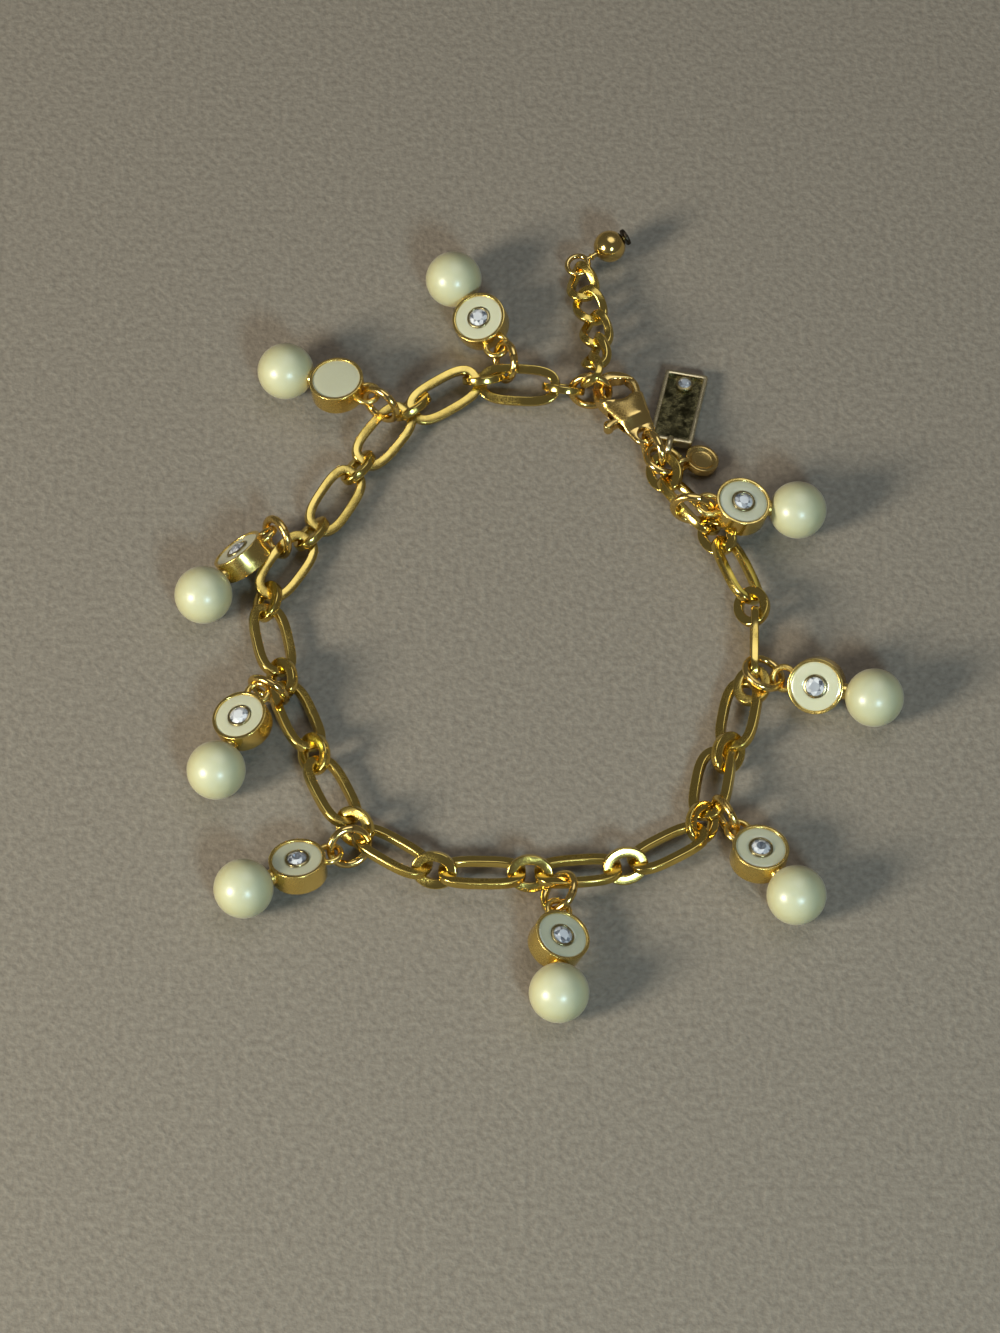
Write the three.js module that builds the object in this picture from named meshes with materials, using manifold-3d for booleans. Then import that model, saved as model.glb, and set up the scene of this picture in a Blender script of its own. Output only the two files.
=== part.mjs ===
// Charm bracelet, closed and lying on a surface: a chain of long and short oval links, nine
// charms of an enamelled drum with a stone and a pearl, a lobster clasp, an extender chain
// that ends in a ball, a tray tag and a small disc charm. Millimetres, +Z up. The bracelet's
// box is centred over the origin and stands on Z = 0.
import * as THREE from 'three';
import { mergeVertices } from 'three/addons/utils/BufferGeometryUtils.js';
import Module from 'manifold-3d';

const wasm = await Module();
wasm.setup();
const TAU = 2 * Math.PI;
const UP = new THREE.Vector3(0, 0, 1);

// Chain links
const LONG_LINKS = 17;
const LONG_LINK_LENGTH = 8.9;
const LONG_LINK_WIDTH = 4.5;
const SHORT_LINK_LENGTH = 4.7;
const SHORT_LINK_WIDTH = 3.9;
const LINK_WIRE_WIDE = 1.0;
const LINK_WIRE_HIGH = 0.8;
const LONG_LINK_SQUARENESS = 3.0;
const SHORT_LINK_SQUARENESS = 2.0;
const LINK_BITE = 0.06;

// Fits between separate pieces
const HANGING_GAP = 0.1;
const CURVE_ROOM = 0.15;
const FITTED_GAP = 0.1;

// Jump rings
const RING_DIAMETER = 4.7;
const RING_WIRE = 0.7;
const RING_SLACK = 1.2;
const RING_REACH = RING_DIAMETER - 2 * RING_WIRE - RING_SLACK;

// Charms
const DRUM_DIAMETER = 5.8;
const DRUM_THICK = 2.4;
const DRUM_RIM = 0.35;
const ENAMEL_RECESS = 0.15;
const CHARM_LOOP_WIDTH = 3.0;
const CHARM_LOOP_REACH = 2.1;
const CHARM_LOOP_WIRE = 0.65;
const BEZEL_DIAMETER = 2.5;
const BEZEL_WALL = 0.25;
const BEZEL_SEAT = 0.6;
const STONE_STANDS = 0.4;
const TABLE_SHARE = 0.55;
const CROWN_SHARE = 0.6;
const PEARL_DIAMETER = 6.1;
const PEARL_GAP = 0.17;
const PEG_DIAMETER = 1.1;
const PEG_DEPTH = 1.1;

// Lobster clasp, from its eyelet along X to its hook; the thumb tab is on the +Y side
const CLASP_THICK = 2.6;
const EYELET_DIAMETER = 2.6;
const EYELET_HOLE = 1.4;
const EYELET_THICK = 0.9;
const HOOK_CENTRE = 6.2;
const HOOK_DIAMETER = 5.2;
const HOOK_HOLE = 3.0;
const HOOK_THICK = 1.6;
const HOOK_REST_ANGLE = 45;
const CLASP_BEVEL = 0.25;
const LEVER_THICK = 1.4;
const LEVER_PIVOT_X = 3.0;
const LEVER_PIVOT_Y = -0.2;
const LEVER_REACH = 4.3;
const LEVER_HUB = 1.8;
const RIVET_DIAMETER = 0.7;
const TAB_X = 2.7;
const TAB_Y = 2.9;
const TAB_DIAMETER = 1.2;
const TAPER_START_X = 0.9;
const TAPER_END_X = 2.2;
const SLOT_START_X = 1.55;
const SLOT_SHOULDER_X = 4.1;
const SLOT_STEP_X = 4.4;
const SLOT_STEP_Y = 0.9;
const MOUTH_X = 5.0;
const MOUTH_BACK_X = 4.85;
const MOUTH_Y = -0.36;
const GATE_START = -155;
const GATE_ROOT_START = -167;
const GATE_END = -18;
const ROOT_BACK = [4.3, -1.5];
const ROOT_FRONT = [4.6, -0.5];
const ROOT_HALF = 0.75;
const RIVET_INSET = 0.05;

// Extender chain, headed pin and ball
const CURB_LENGTH = 4.9;
const CURB_WIDTH = 3.7;
const CURB_WIRE = 0.8;
const CURB_TWIST = 0.55;
const EYE_DIAMETER = 2.9;
const EYE_WIRE = 0.6;
const BALL_DIAMETER = 3.5;
const PIN_DIAMETER = 0.6;
const PIN_NECK = 0.9;
const PIN_HEAD_DIAMETER = 1.9;
const PIN_HEAD_THICK = 0.35;

// Tray tag and small disc charm
const TAG_WIDTH = 4.6;
const TAG_LENGTH = 9.6;
const TAG_THICK = 1.1;
const TAG_RIM = 0.45;
const TAG_DEPTH = 0.5;
const TAG_LOOP_DIAMETER = 2.8;
const TAG_LOOP_WIRE = 0.7;
const TAG_STONE_DIAMETER = 1.9;
const DISC_DIAMETER = 3.6;
const DISC_THICK = 0.9;
const DISC_RIM = 0.35;
const DISC_DISH = 0.3;
const DISC_LOOP_DIAMETER = 2.2;
const DISC_LOOP_WIRE = 0.5;

// The route that the chain lies on, anticlockwise from the hook past the end ring: points
// chosen by hand, scaled together until the chain, its rings and the clasp just close it
const CHAIN_ROUTE = [
  [7.9, 29.9, 2.3], [6.4, 29.9, 2.3], [3.6, 30.3, 2.1], [-4.6, 32.1, 1.9], [-12.3, 28.8, 1.9],
  [-18.1, 21.1, 1.9], [-22.9, 12.5, 1.9], [-27.8, 4.8, 1.9], [-26.7, -4.5, 1.9],
  [-23.0, -14.5, 1.9], [-19.3, -23.0, 1.9], [-12.0, -28.8, 1.9], [-2.3, -29.6, 1.9],
  [7.4, -29.2, 1.9], [16.1, -25.7, 1.9], [19.1, -17.7, 1.9], [22.2, -10.1, 2.2],
  [23.3, 0, 2.4], [20.9, 9.3, 2.1], [14.9, 17.5, 2.1], [12.8, 22.6, 2.4],
];
const ROUTE_SAMPLES = 1200;

// How each link lies: its outer edge is turned up by roll, in degrees, about the chain.
// slack is how far a long link stops short of full stretch, in millimetres.
const LONG_ROLL = 20;
const SHORT_ROLL = -45;
const LINK_POSES = {
  short_1: { roll: -50 },
  long_1: { roll: 25, slack: 1.0 },
  long_2: { roll: 20, slack: 1.1 },
  long_13: { roll: 20, slack: 1.1 },
  long_14: { roll: 20, slack: 1.4 },
  short_15: { roll: 10 },
  long_15: { roll: 90 },
  short_16: { roll: 25 },
  long_16: { roll: -37 },
  short_17: { roll: 25 },
  long_17: { roll: -40 },
  short_18: { roll: 25 },
};
const END_RING_ROLL = 75;
const CLASP_RING_ROLL = 80;

// Where each charm hangs: on which long link, how far along it (-1 to 1), on which side (1 is
// the loop's outside), which way the jump ring leads (heading and rise) and its turn about
// that line, and how the charm lies: its heading from loop to pearl and its roll about that
// line. Angles in degrees.
const CHARMS = [
  { link: 1, along: 0.32, side: 1, leads: 110, rise: -2, turn: 34, heading: 119, roll: 17 },
  { link: 3, along: -0.58, side: 1, leads: 136, rise: 60, turn: 0, heading: 157, roll: 179 },
  { link: 5, along: -0.40, side: 1, leads: 117, rise: 24, turn: 48, heading: 229, roll: -48 },
  { link: 7, along: -0.72, side: 1, leads: 159, rise: 51, turn: -63, heading: 245, roll: -15 },
  { link: 9, along: -0.81, side: 1, leads: 201, rise: 1, turn: 18, heading: 207, roll: -17 },
  { link: 11, along: -0.50, side: 1, leads: 265, rise: 1, turn: -38, heading: 270, roll: 21 },
  { link: 13, along: -0.81, side: 1, leads: 301, rise: 4, turn: 1, heading: 306, roll: 10 },
  { link: 15, along: -0.93, side: 1, leads: 357, rise: -22, turn: 33, heading: -16, roll: -40 },
  { link: 17, along: -0.31, side: -1, leads: 358, rise: 58, turn: -28, heading: 3, roll: -2 },
];

// How the extender's links lie one after another, in degrees
const CURB_LINKS = [
  { heading: 80, rise: -25, roll: 80 },
  { heading: 86, rise: -12, roll: 50 },
  { heading: 95, rise: -4, roll: 20 },
  { heading: 108, rise: 0, roll: 10 },
  { heading: 100, rise: 0, roll: 35 },
];
const EXTENDER_START = 95;
const PIN_HEADING = 31;
const PIN_RISE = 8;
const EYE_ROLL = 0;

// How the tag and the disc charm lie, in degrees: where on its ring each hangs, and for the
// tag which way its own ring leads and turns
const TAG_POSE = { at: 180, leads: 70, rise: -22, turn: 8, heading: 78 };
const DISC_POSE = { at: 95, heading: 24, roll: 179 };

// Sides and steps of the faceted rounds
const LINK_SIDES = 6;
const LONG_LINK_STEPS = 12;
const SHORT_LINK_STEPS = 10;
const RING_STEPS = 12;
const ROUND_SIDES = 14;
const SMALL_SIDES = 10;
const PEARL_SIDES = 12;
const PEARL_ROWS = 7;

const radians = THREE.MathUtils.degToRad;

function direction(heading, rise) {
  const flat = Math.cos(radians(rise));
  return new THREE.Vector3(
    flat * Math.cos(radians(heading)),
    flat * Math.sin(radians(heading)),
    Math.sin(radians(rise)),
  );
}

// A frame at a point: X along a direction, Y as near to a second one as it can be.
function frameAt(point, along, across) {
  const x = along.clone().normalize();
  const y = across.clone().addScaledVector(x, -across.dot(x)).normalize();
  const z = x.clone().cross(y);
  return new THREE.Matrix4().makeBasis(x, y, z).setPosition(point);
}

// The same, turned about X by a roll in degrees from the horizontal.
function rolledFrame(point, along, roll) {
  const side = along.clone().cross(UP).normalize();
  const lift = side.clone().cross(along).normalize();
  const across = side.multiplyScalar(Math.cos(radians(roll)));
  across.addScaledVector(lift, Math.sin(radians(roll)));
  return frameAt(point, along, across);
}

function columnOf(frame, index) {
  return new THREE.Vector3().setFromMatrixColumn(frame, index);
}

function within(frame, x, y, z) {
  return new THREE.Vector3(x, y, z).applyMatrix4(frame);
}

// Solids: a geometry's merged positions go into the boolean library and come back
function solidOf(geometry) {
  const bare = geometry.clone();
  bare.deleteAttribute('normal');
  bare.deleteAttribute('uv');
  const merged = mergeVertices(bare, 1e-5);
  return new wasm.Manifold(new wasm.Mesh({
    numProp: 3,
    vertProperties: Float32Array.from(merged.attributes.position.array),
    triVerts: Uint32Array.from(merged.index.array),
  }));
}

function geometryOf(solid) {
  const mesh = solid.getMesh();
  const geometry = new THREE.BufferGeometry();
  geometry.setAttribute('position', new THREE.BufferAttribute(mesh.vertProperties, 3));
  geometry.setIndex(new THREE.BufferAttribute(mesh.triVerts, 1));
  geometry.computeVertexNormals();
  return geometry;
}

function fused(geometries) {
  return geometries.map(solidOf).reduce((whole, piece) => whole.add(piece));
}

function fusedGeometry(geometries) {
  return geometryOf(fused(geometries));
}

function cutGeometry(solid, cutters) {
  return geometryOf(cutters.map(solidOf).reduce((left, cutter) => left.subtract(cutter), solid));
}

// Turned pieces: a profile of [radius, height] points, upwards round the Z axis
function turned(profile, sides) {
  const points = profile.map(([radius, height]) => new THREE.Vector2(radius, height));
  const geometry = new THREE.LatheGeometry(points, sides);
  geometry.rotateX(Math.PI / 2);
  return geometry;
}

function cylinder(diameter, from, to, sides) {
  const geometry = new THREE.CylinderGeometry(diameter / 2, diameter / 2, to - from, sides);
  geometry.rotateX(Math.PI / 2);
  geometry.translate(0, 0, (from + to) / 2);
  return geometry;
}

function roundRing(diameter, wire, steps) {
  return new THREE.TorusGeometry((diameter - wire) / 2, wire / 2, LINK_SIDES, steps);
}

// A closed loop of wire: a ring whose section follows a closed centreline. The section is
// wide in the loop's plane and high across it.
function wireLoop(centreline, steps, wide, high) {
  const loop = new THREE.TorusGeometry(1, 1, LINK_SIDES, steps);
  const place = loop.attributes.position;
  const small = 1e-3;
  for (let index = 0; index < place.count; index++) {
    const turn = TAU * ((index % (steps + 1)) % steps) / steps;
    const spoke = TAU * (Math.floor(index / (steps + 1)) % LINK_SIDES) / LINK_SIDES;
    const tangent = centreline(turn + small).sub(centreline(turn - small)).normalize();
    const outward = tangent.clone().cross(UP).normalize();
    const above = outward.clone().cross(tangent);
    const point = centreline(turn);
    point.addScaledVector(outward, Math.cos(spoke) * wide / 2);
    point.addScaledVector(above, Math.sin(spoke) * high / 2 / Math.sin(TAU / 6));
    place.setXYZ(index, point.x, point.y, point.z);
  }
  return loop;
}

function ovalPoint(turn, halfLength, halfWidth, squareness) {
  const bend = (value) => Math.sign(value) * Math.abs(value) ** (2 / squareness);
  return new THREE.Vector3(halfLength * bend(Math.cos(turn)), halfWidth * bend(Math.sin(turn)), 0);
}

function longLink() {
  const halfLength = (LONG_LINK_LENGTH - LINK_WIRE_WIDE) / 2;
  const halfWidth = (LONG_LINK_WIDTH - LINK_WIRE_WIDE) / 2;
  const centreline = (turn) => ovalPoint(turn, halfLength, halfWidth, LONG_LINK_SQUARENESS);
  return wireLoop(centreline, LONG_LINK_STEPS, LINK_WIRE_WIDE, LINK_WIRE_HIGH);
}

function shortLink() {
  const halfLength = (SHORT_LINK_LENGTH - LINK_WIRE_WIDE) / 2;
  const halfWidth = (SHORT_LINK_WIDTH - LINK_WIRE_WIDE) / 2;
  const centreline = (turn) => ovalPoint(turn, halfLength, halfWidth, SHORT_LINK_SQUARENESS);
  return wireLoop(centreline, SHORT_LINK_STEPS, LINK_WIRE_WIDE, LINK_WIRE_HIGH);
}

function curbLink() {
  const halfLength = (CURB_LENGTH - CURB_WIRE) / 2;
  const halfWidth = (CURB_WIDTH - CURB_WIRE) / 2;
  const centreline = (turn) => new THREE.Vector3(
    halfLength * Math.cos(turn),
    halfWidth * Math.sin(turn),
    -CURB_TWIST * Math.sin(2 * turn),
  );
  return wireLoop(centreline, SHORT_LINK_STEPS, CURB_WIRE, CURB_WIRE);
}

// The clear distance that a slack link keeps its neighbour from the middle of its bow, so
// that the neighbour rests on its inner edge
function slackOffset(slack) {
  const halfLength = LONG_LINK_LENGTH / 2 - LINK_WIRE_WIDE;
  const halfWidth = LONG_LINK_WIDTH / 2 - LINK_WIRE_WIDE;
  const share = 1 - (slack + LINK_WIRE_WIDE / 4) / halfLength;
  const half = halfWidth * (1 - share ** LONG_LINK_SQUARENESS) ** (1 / LONG_LINK_SQUARENESS);
  return half - LINK_WIRE_HIGH / 2 + LINK_BITE;
}

// Where the wires of the two rings lie in the clasp: the end ring's near the hook's wall, with
// room for its curve, and the clasp ring's in the middle of the eyelet
const seatRadius = (HOOK_HOLE - RING_WIRE) / 2 - HANGING_GAP - CURVE_ROOM;
const hookSeat = new THREE.Vector2(
  HOOK_CENTRE + seatRadius * Math.cos(radians(HOOK_REST_ANGLE)),
  seatRadius * Math.sin(radians(HOOK_REST_ANGLE)),
);
const eyeletSeat = new THREE.Vector2(0, 0);

// Everything that closes the loop, in order from the end ring; clear is the distance between
// the contacts at its ends
function loopItems() {
  const items = [{ name: 'end_ring', clear: RING_DIAMETER - 2 * RING_WIRE, roll: END_RING_ROLL }];
  for (let number = 1; number <= LONG_LINKS + 1; number++) {
    const shortName = `short_${number}`;
    items.push({
      name: shortName,
      clear: SHORT_LINK_LENGTH - 2 * LINK_WIRE_WIDE,
      roll: SHORT_ROLL,
      ...LINK_POSES[shortName],
    });
    if (number > LONG_LINKS) break;
    const longName = `long_${number}`;
    items.push({
      name: longName,
      clear: LONG_LINK_LENGTH - 2 * LINK_WIRE_WIDE,
      roll: LONG_ROLL,
      ...LINK_POSES[longName],
    });
  }
  items.push({ name: 'clasp_ring', clear: RING_DIAMETER - 2 * RING_WIRE, roll: CLASP_RING_ROLL });
  const between = hookSeat.distanceTo(eyeletSeat);
  items.push({ name: 'clasp', clear: between + RING_WIRE + 2 * HANGING_GAP, roll: 0 });
  return items;
}

// Neighbouring links are pressed together, and a separate ring or clasp keeps a gap
function isLink(item) {
  return item.name.startsWith('short') || item.name.startsWith('long');
}

function chordOf(items, index) {
  const item = items[index];
  const before = items[(index + items.length - 1) % items.length];
  const after = items[(index + 1) % items.length];
  const spare = (other) => (isLink(item) && isLink(other) ? -LINK_BITE : HANGING_GAP) / 2;
  const reach = item.clear - spare(before) - spare(after);
  if (!item.slack) return reach;
  return Math.hypot(reach - item.slack, slackOffset(item.slack));
}

// Points a chord apart along the closed route, and how far round it they get
function walk(route, chords) {
  const samples = route.getPoints(ROUTE_SAMPLES);
  const points = [samples[0].clone()];
  let index = 0;
  let share = 0;
  for (const chord of chords) {
    const from = points.at(-1);
    while (samples[(index + 1) % ROUTE_SAMPLES].distanceTo(from) < chord) index++;
    const start = samples[index % ROUTE_SAMPLES];
    const end = samples[(index + 1) % ROUTE_SAMPLES];
    let low = 0;
    let high = 1;
    for (let pass = 0; pass < 40; pass++) {
      share = (low + high) / 2;
      if (start.clone().lerp(end, share).distanceTo(from) < chord) low = share;
      else high = share;
    }
    points.push(start.clone().lerp(end, share));
  }
  return { points, turns: (index + share) / ROUTE_SAMPLES };
}

// The contacts of all items on the route, scaled until the last meets the first
function closeLoop(chords) {
  let low = 0.5;
  let high = 2;
  let walked = null;
  for (let pass = 0; pass < 40; pass++) {
    const scale = (low + high) / 2;
    const points = CHAIN_ROUTE.map(([x, y, z]) => new THREE.Vector3(x * scale, y * scale, z));
    walked = walk(new THREE.CatmullRomCurve3(points, true, 'centripetal'), chords);
    if (walked.turns > 1) low = scale;
    else high = scale;
  }
  return walked.points;
}

// The frame of each item: X along the chain, Y towards its outer edge
function placeItems() {
  const items = loopItems();
  const contacts = closeLoop(items.map((item, index) => chordOf(items, index)));
  const frames = {};
  items.forEach((item, index) => {
    const from = contacts[index];
    const to = contacts[index + 1];
    const along = to.clone().sub(from).normalize();
    const middle = from.clone().add(to).multiplyScalar(0.5);
    const frame = rolledFrame(middle, along, item.roll);
    if (item.slack) {
      const reach = item.clear + LINK_BITE;
      const turn = Math.atan2(slackOffset(item.slack), reach - item.slack);
      const turnedFrame = frame.clone().setPosition(0, 0, 0);
      turnedFrame.multiply(new THREE.Matrix4().makeRotationZ(-turn));
      const centre = from.clone().addScaledVector(columnOf(turnedFrame, 0), reach / 2);
      frame.copy(turnedFrame.setPosition(centre));
    }
    frames[item.name] = frame;
    Object.assign(item, { from, to, along });
  });
  frames.clasp = claspFrame(ringWire(items.at(-2), 1), ringWire(items[0], -1));
  return frames;
}

// The middle of a ring's wire at its near (-1) or far (1) end of the chain's line
function ringWire(ring, end) {
  const contact = end < 0 ? ring.from : ring.to;
  return contact.clone().addScaledVector(ring.along, end * (RING_WIRE + HANGING_GAP) / 2);
}

// The clasp lies flat, X from its eyelet towards its hook, Y to the loop's inside, Z up. Its
// hook is set over the end ring's wire, and its wider eyelet has room for the clasp ring's.
function claspFrame(eyeletWire, hookWire) {
  const lean = Math.atan2(hookSeat.y - eyeletSeat.y, hookSeat.x - eyeletSeat.x);
  const along = hookWire.clone().sub(eyeletWire);
  const frame = frameAt(new THREE.Vector3(), along, UP.clone().cross(along));
  frame.multiply(new THREE.Matrix4().makeRotationZ(-lean));
  const eyelet = hookWire.clone();
  eyelet.addScaledVector(columnOf(frame, 0), -hookSeat.x);
  eyelet.addScaledVector(columnOf(frame, 1), -hookSeat.y);
  return frame.setPosition(eyelet);
}

// Materials
function finish(color, roughness, metalness) {
  return new THREE.MeshStandardMaterial({ color, roughness, metalness });
}
const gold = finish(0xd9a83f, 0.22, 1);
const darkGold = finish(0x6f6440, 0.15, 1);
const enamel = finish(0xe9e6cd, 0.12, 0);
const crystal = finish(0xdfeaf2, 0.03, 0);
const pearl = finish(0xf0e9d2, 0.28, 0);

const bracelet = new THREE.Group();

function addMesh(name, geometry, material, frame, parent = bracelet) {
  const mesh = new THREE.Mesh(geometry, material);
  mesh.name = name;
  if (frame) frame.decompose(mesh.position, mesh.quaternion, mesh.scale);
  parent.add(mesh);
  return mesh;
}

const frames = placeItems();

// The chain is one solid, because its links rest on each other
function addChain() {
  const links = [];
  for (const [name, frame] of Object.entries(frames)) {
    if (name.startsWith('long')) links.push(longLink().applyMatrix4(frame));
    if (name.startsWith('short')) links.push(shortLink().applyMatrix4(frame));
  }
  addMesh('link_chain', fusedGeometry(links), gold);
  addMesh('end_ring', roundRing(RING_DIAMETER, RING_WIRE, RING_STEPS), gold, frames.end_ring);
  const ring = roundRing(RING_DIAMETER, RING_WIRE, RING_STEPS);
  addMesh('clasp_jump_ring', ring, gold, frames.clasp_ring);
}

// A ring through two wires: its centre is between them, and its plane crosses both, turned
// from there about the line between them
function ringFrame(first, firstWire, second, secondWire, turn) {
  const centre = first.clone().add(second).multiplyScalar(0.5);
  const along = second.clone().sub(first).normalize();
  const flatten = (wire) => wire.clone().addScaledVector(along, -wire.dot(along)).normalize();
  const one = flatten(firstWire);
  const two = flatten(secondWire);
  if (one.dot(two) < 0) two.negate();
  const normal = one.add(two).normalize();
  const frame = frameAt(centre, along, normal.cross(along));
  return frame.multiply(new THREE.Matrix4().makeRotationX(radians(turn)));
}

// Charm: its own frame has Z out of the stone's side and Y from the pearl to the loop
const loopCentre = DRUM_DIAMETER / 2 + CHARM_LOOP_REACH - CHARM_LOOP_WIDTH / 2;
const loopTop = DRUM_DIAMETER / 2 + CHARM_LOOP_REACH - CHARM_LOOP_WIRE / 2;
const pearlDrop = DRUM_DIAMETER / 2 + PEARL_GAP + PEARL_DIAMETER / 2;
const enamelFace = DRUM_THICK / 2 - ENAMEL_RECESS;

function drumGeometry() {
  const wall = cylinder(DRUM_DIAMETER, -DRUM_THICK / 2, DRUM_THICK / 2, ROUND_SIDES);
  const loop = roundRing(CHARM_LOOP_WIDTH, CHARM_LOOP_WIRE, SMALL_SIDES);
  loop.translate(0, loopCentre, 0);
  const pegEnd = DRUM_DIAMETER / 2 + PEARL_GAP + PEG_DEPTH;
  const peg = cylinder(PEG_DIAMETER, DRUM_DIAMETER / 2 - DRUM_RIM, pegEnd, SMALL_SIDES);
  peg.rotateX(Math.PI / 2);
  const bore = DRUM_DIAMETER - 2 * DRUM_RIM;
  return cutGeometry(fused([wall, loop, peg]), [
    cylinder(bore, -DRUM_THICK, DRUM_THICK, ROUND_SIDES),
  ]);
}

function enamelGeometry() {
  const radius = DRUM_DIAMETER / 2 - DRUM_RIM - FITTED_GAP;
  const seat = BEZEL_DIAMETER / 2 + FITTED_GAP;
  return turned([
    [0, -enamelFace], [radius, -enamelFace], [radius, enamelFace],
    [seat, enamelFace], [seat, enamelFace - BEZEL_SEAT], [0, enamelFace - BEZEL_SEAT],
  ], ROUND_SIDES);
}

// A round stone with a flat table and slanting facets, fused to its bezel
function stoneGeometry(diameter, wall, bottom, top) {
  const outside = diameter / 2;
  const inside = outside - wall;
  const lip = top - STONE_STANDS * CROWN_SHARE;
  return turned([
    [0, bottom], [outside, bottom], [outside, lip], [inside, lip],
    [inside * TABLE_SHARE, top], [0, top],
  ], ROUND_SIDES);
}

function pearlGeometry() {
  const radius = PEARL_DIAMETER / 2;
  const hole = PEG_DIAMETER / 2 + FITTED_GAP;
  const mouth = Math.asin(hole / radius);
  const profile = [];
  for (let row = 0; row <= PEARL_ROWS; row++) {
    const angle = Math.PI + (mouth - Math.PI) * row / PEARL_ROWS;
    const width = row === 0 ? 0 : radius * Math.sin(angle);
    profile.push([width, radius * Math.cos(angle)]);
  }
  const floor = radius - PEG_DEPTH - FITTED_GAP;
  profile.push([hole, floor], [0, floor]);
  const geometry = turned(profile, PEARL_SIDES);
  geometry.rotateX(-Math.PI / 2);
  return geometry;
}

// A hanging piece leans from its loop until its far end rests on the surface
function leaning(loop, heading, restHeight, length) {
  const rise = Math.asin((restHeight - loop.z) / length);
  return direction(heading, THREE.MathUtils.radToDeg(rise));
}

// The frames of a charm and its jump ring
function charmPlace(row) {
  const link = frames[`long_${row.link}`];
  const halfLength = (LONG_LINK_LENGTH - LINK_WIRE_WIDE) / 2;
  const halfWidth = (LONG_LINK_WIDTH - LINK_WIRE_WIDE) / 2;
  const onStrand = (along) => {
    const left = (1 - Math.abs(along) ** LONG_LINK_SQUARENESS) ** (1 / LONG_LINK_SQUARENESS);
    return within(link, halfLength * along, row.side * halfWidth * left, 0);
  };
  const strand = onStrand(row.along);
  const strandWire = onStrand(row.along + 0.01).sub(onStrand(row.along - 0.01)).normalize();
  const loop = strand.clone().addScaledVector(direction(row.leads, row.rise), RING_REACH);

  const down = leaning(loop, row.heading, PEARL_DIAMETER / 2, loopTop + pearlDrop);
  const centre = loop.clone().addScaledVector(down, loopTop);
  const side = UP.clone().cross(down).normalize();
  const face = down.clone().cross(side).multiplyScalar(Math.cos(radians(row.roll)));
  face.addScaledVector(side, Math.sin(radians(row.roll)));
  const across = down.clone().negate().cross(face);
  return {
    charm: frameAt(centre, across, down.clone().negate()),
    ring: ringFrame(strand, strandWire, loop, across, row.turn),
  };
}

function addCharm(row, number) {
  const place = charmPlace(row);
  const charm = new THREE.Group();
  place.charm.decompose(charm.position, charm.quaternion, charm.scale);
  bracelet.add(charm);
  const name = `charm_${number}`;
  const ring = roundRing(RING_DIAMETER, RING_WIRE, RING_STEPS);
  addMesh(`${name}_jump_ring`, ring, gold, place.ring);
  addMesh(`${name}_drum`, drumGeometry(), gold, null, charm);
  addMesh(`${name}_enamel`, enamelGeometry(), enamel, null, charm);
  const bottom = enamelFace - BEZEL_SEAT + FITTED_GAP;
  const top = DRUM_THICK / 2 + STONE_STANDS - ENAMEL_RECESS;
  const stone = stoneGeometry(BEZEL_DIAMETER, BEZEL_WALL, bottom, top);
  addMesh(`${name}_crystal`, stone, crystal, null, charm);
  const bead = addMesh(`${name}_pearl`, pearlGeometry(), pearl, null, charm);
  bead.position.set(0, -pearlDrop, 0);
}

// Clasp body: a teardrop shell from the eyelet to the hook, thinner at both ends, slotted for
// the lever, open on one side of the hook, with the rivet across the slot
function extruded(shape, thick, bevel) {
  const geometry = new THREE.ExtrudeGeometry(shape, {
    depth: thick - 2 * bevel,
    curveSegments: 7,
    bevelEnabled: bevel > 0,
    bevelThickness: bevel,
    bevelSize: bevel,
    bevelOffset: -bevel,
    bevelSegments: 1,
  });
  geometry.translate(0, 0, bevel - thick / 2);
  return geometry;
}

function polygonShape(points) {
  return new THREE.Shape(points.map(([x, y]) => new THREE.Vector2(x, y)));
}

function circlePath(centre, diameter, sides) {
  const points = [];
  for (let side = 0; side < sides; side++) {
    const turn = -TAU * side / sides;
    points.push(new THREE.Vector2(
      centre + diameter / 2 * Math.cos(turn),
      diameter / 2 * Math.sin(turn),
    ));
  }
  return new THREE.Path(points);
}

function claspOutline() {
  const lean = Math.acos((EYELET_DIAMETER - HOOK_DIAMETER) / 2 / HOOK_CENTRE);
  const shape = new THREE.Shape();
  shape.absarc(0, 0, EYELET_DIAMETER / 2, lean, TAU - lean, false);
  shape.absarc(HOOK_CENTRE, 0, HOOK_DIAMETER / 2, -lean, lean, false);
  shape.holes.push(circlePath(0, EYELET_HOLE, SMALL_SIDES));
  shape.holes.push(circlePath(HOOK_CENTRE, HOOK_HOLE, ROUND_SIDES));
  return shape;
}

// What thins the clasp above its eyelet and hook, as side views cut across its width
function claspTapers() {
  const past = HOOK_CENTRE + HOOK_DIAMETER;
  const high = CLASP_THICK;
  const hookStart = HOOK_CENTRE - HOOK_HOLE / 2;
  const profiles = [
    [[-past, EYELET_THICK / 2], [TAPER_START_X, EYELET_THICK / 2], [TAPER_END_X, high / 2],
      [TAPER_END_X, high], [-past, high]],
    [[hookStart, high / 2], [HOOK_CENTRE + HOOK_HOLE / 4, HOOK_THICK / 2],
      [past, HOOK_THICK / 2], [past, high], [hookStart, high]],
  ];
  const tapers = [];
  for (const profile of profiles) {
    for (const side of [-1, 1]) {
      const taper = extruded(polygonShape(profile), 2 * HOOK_DIAMETER, 0);
      taper.rotateX(side * Math.PI / 2);
      tapers.push(taper);
    }
  }
  return tapers;
}

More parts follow.
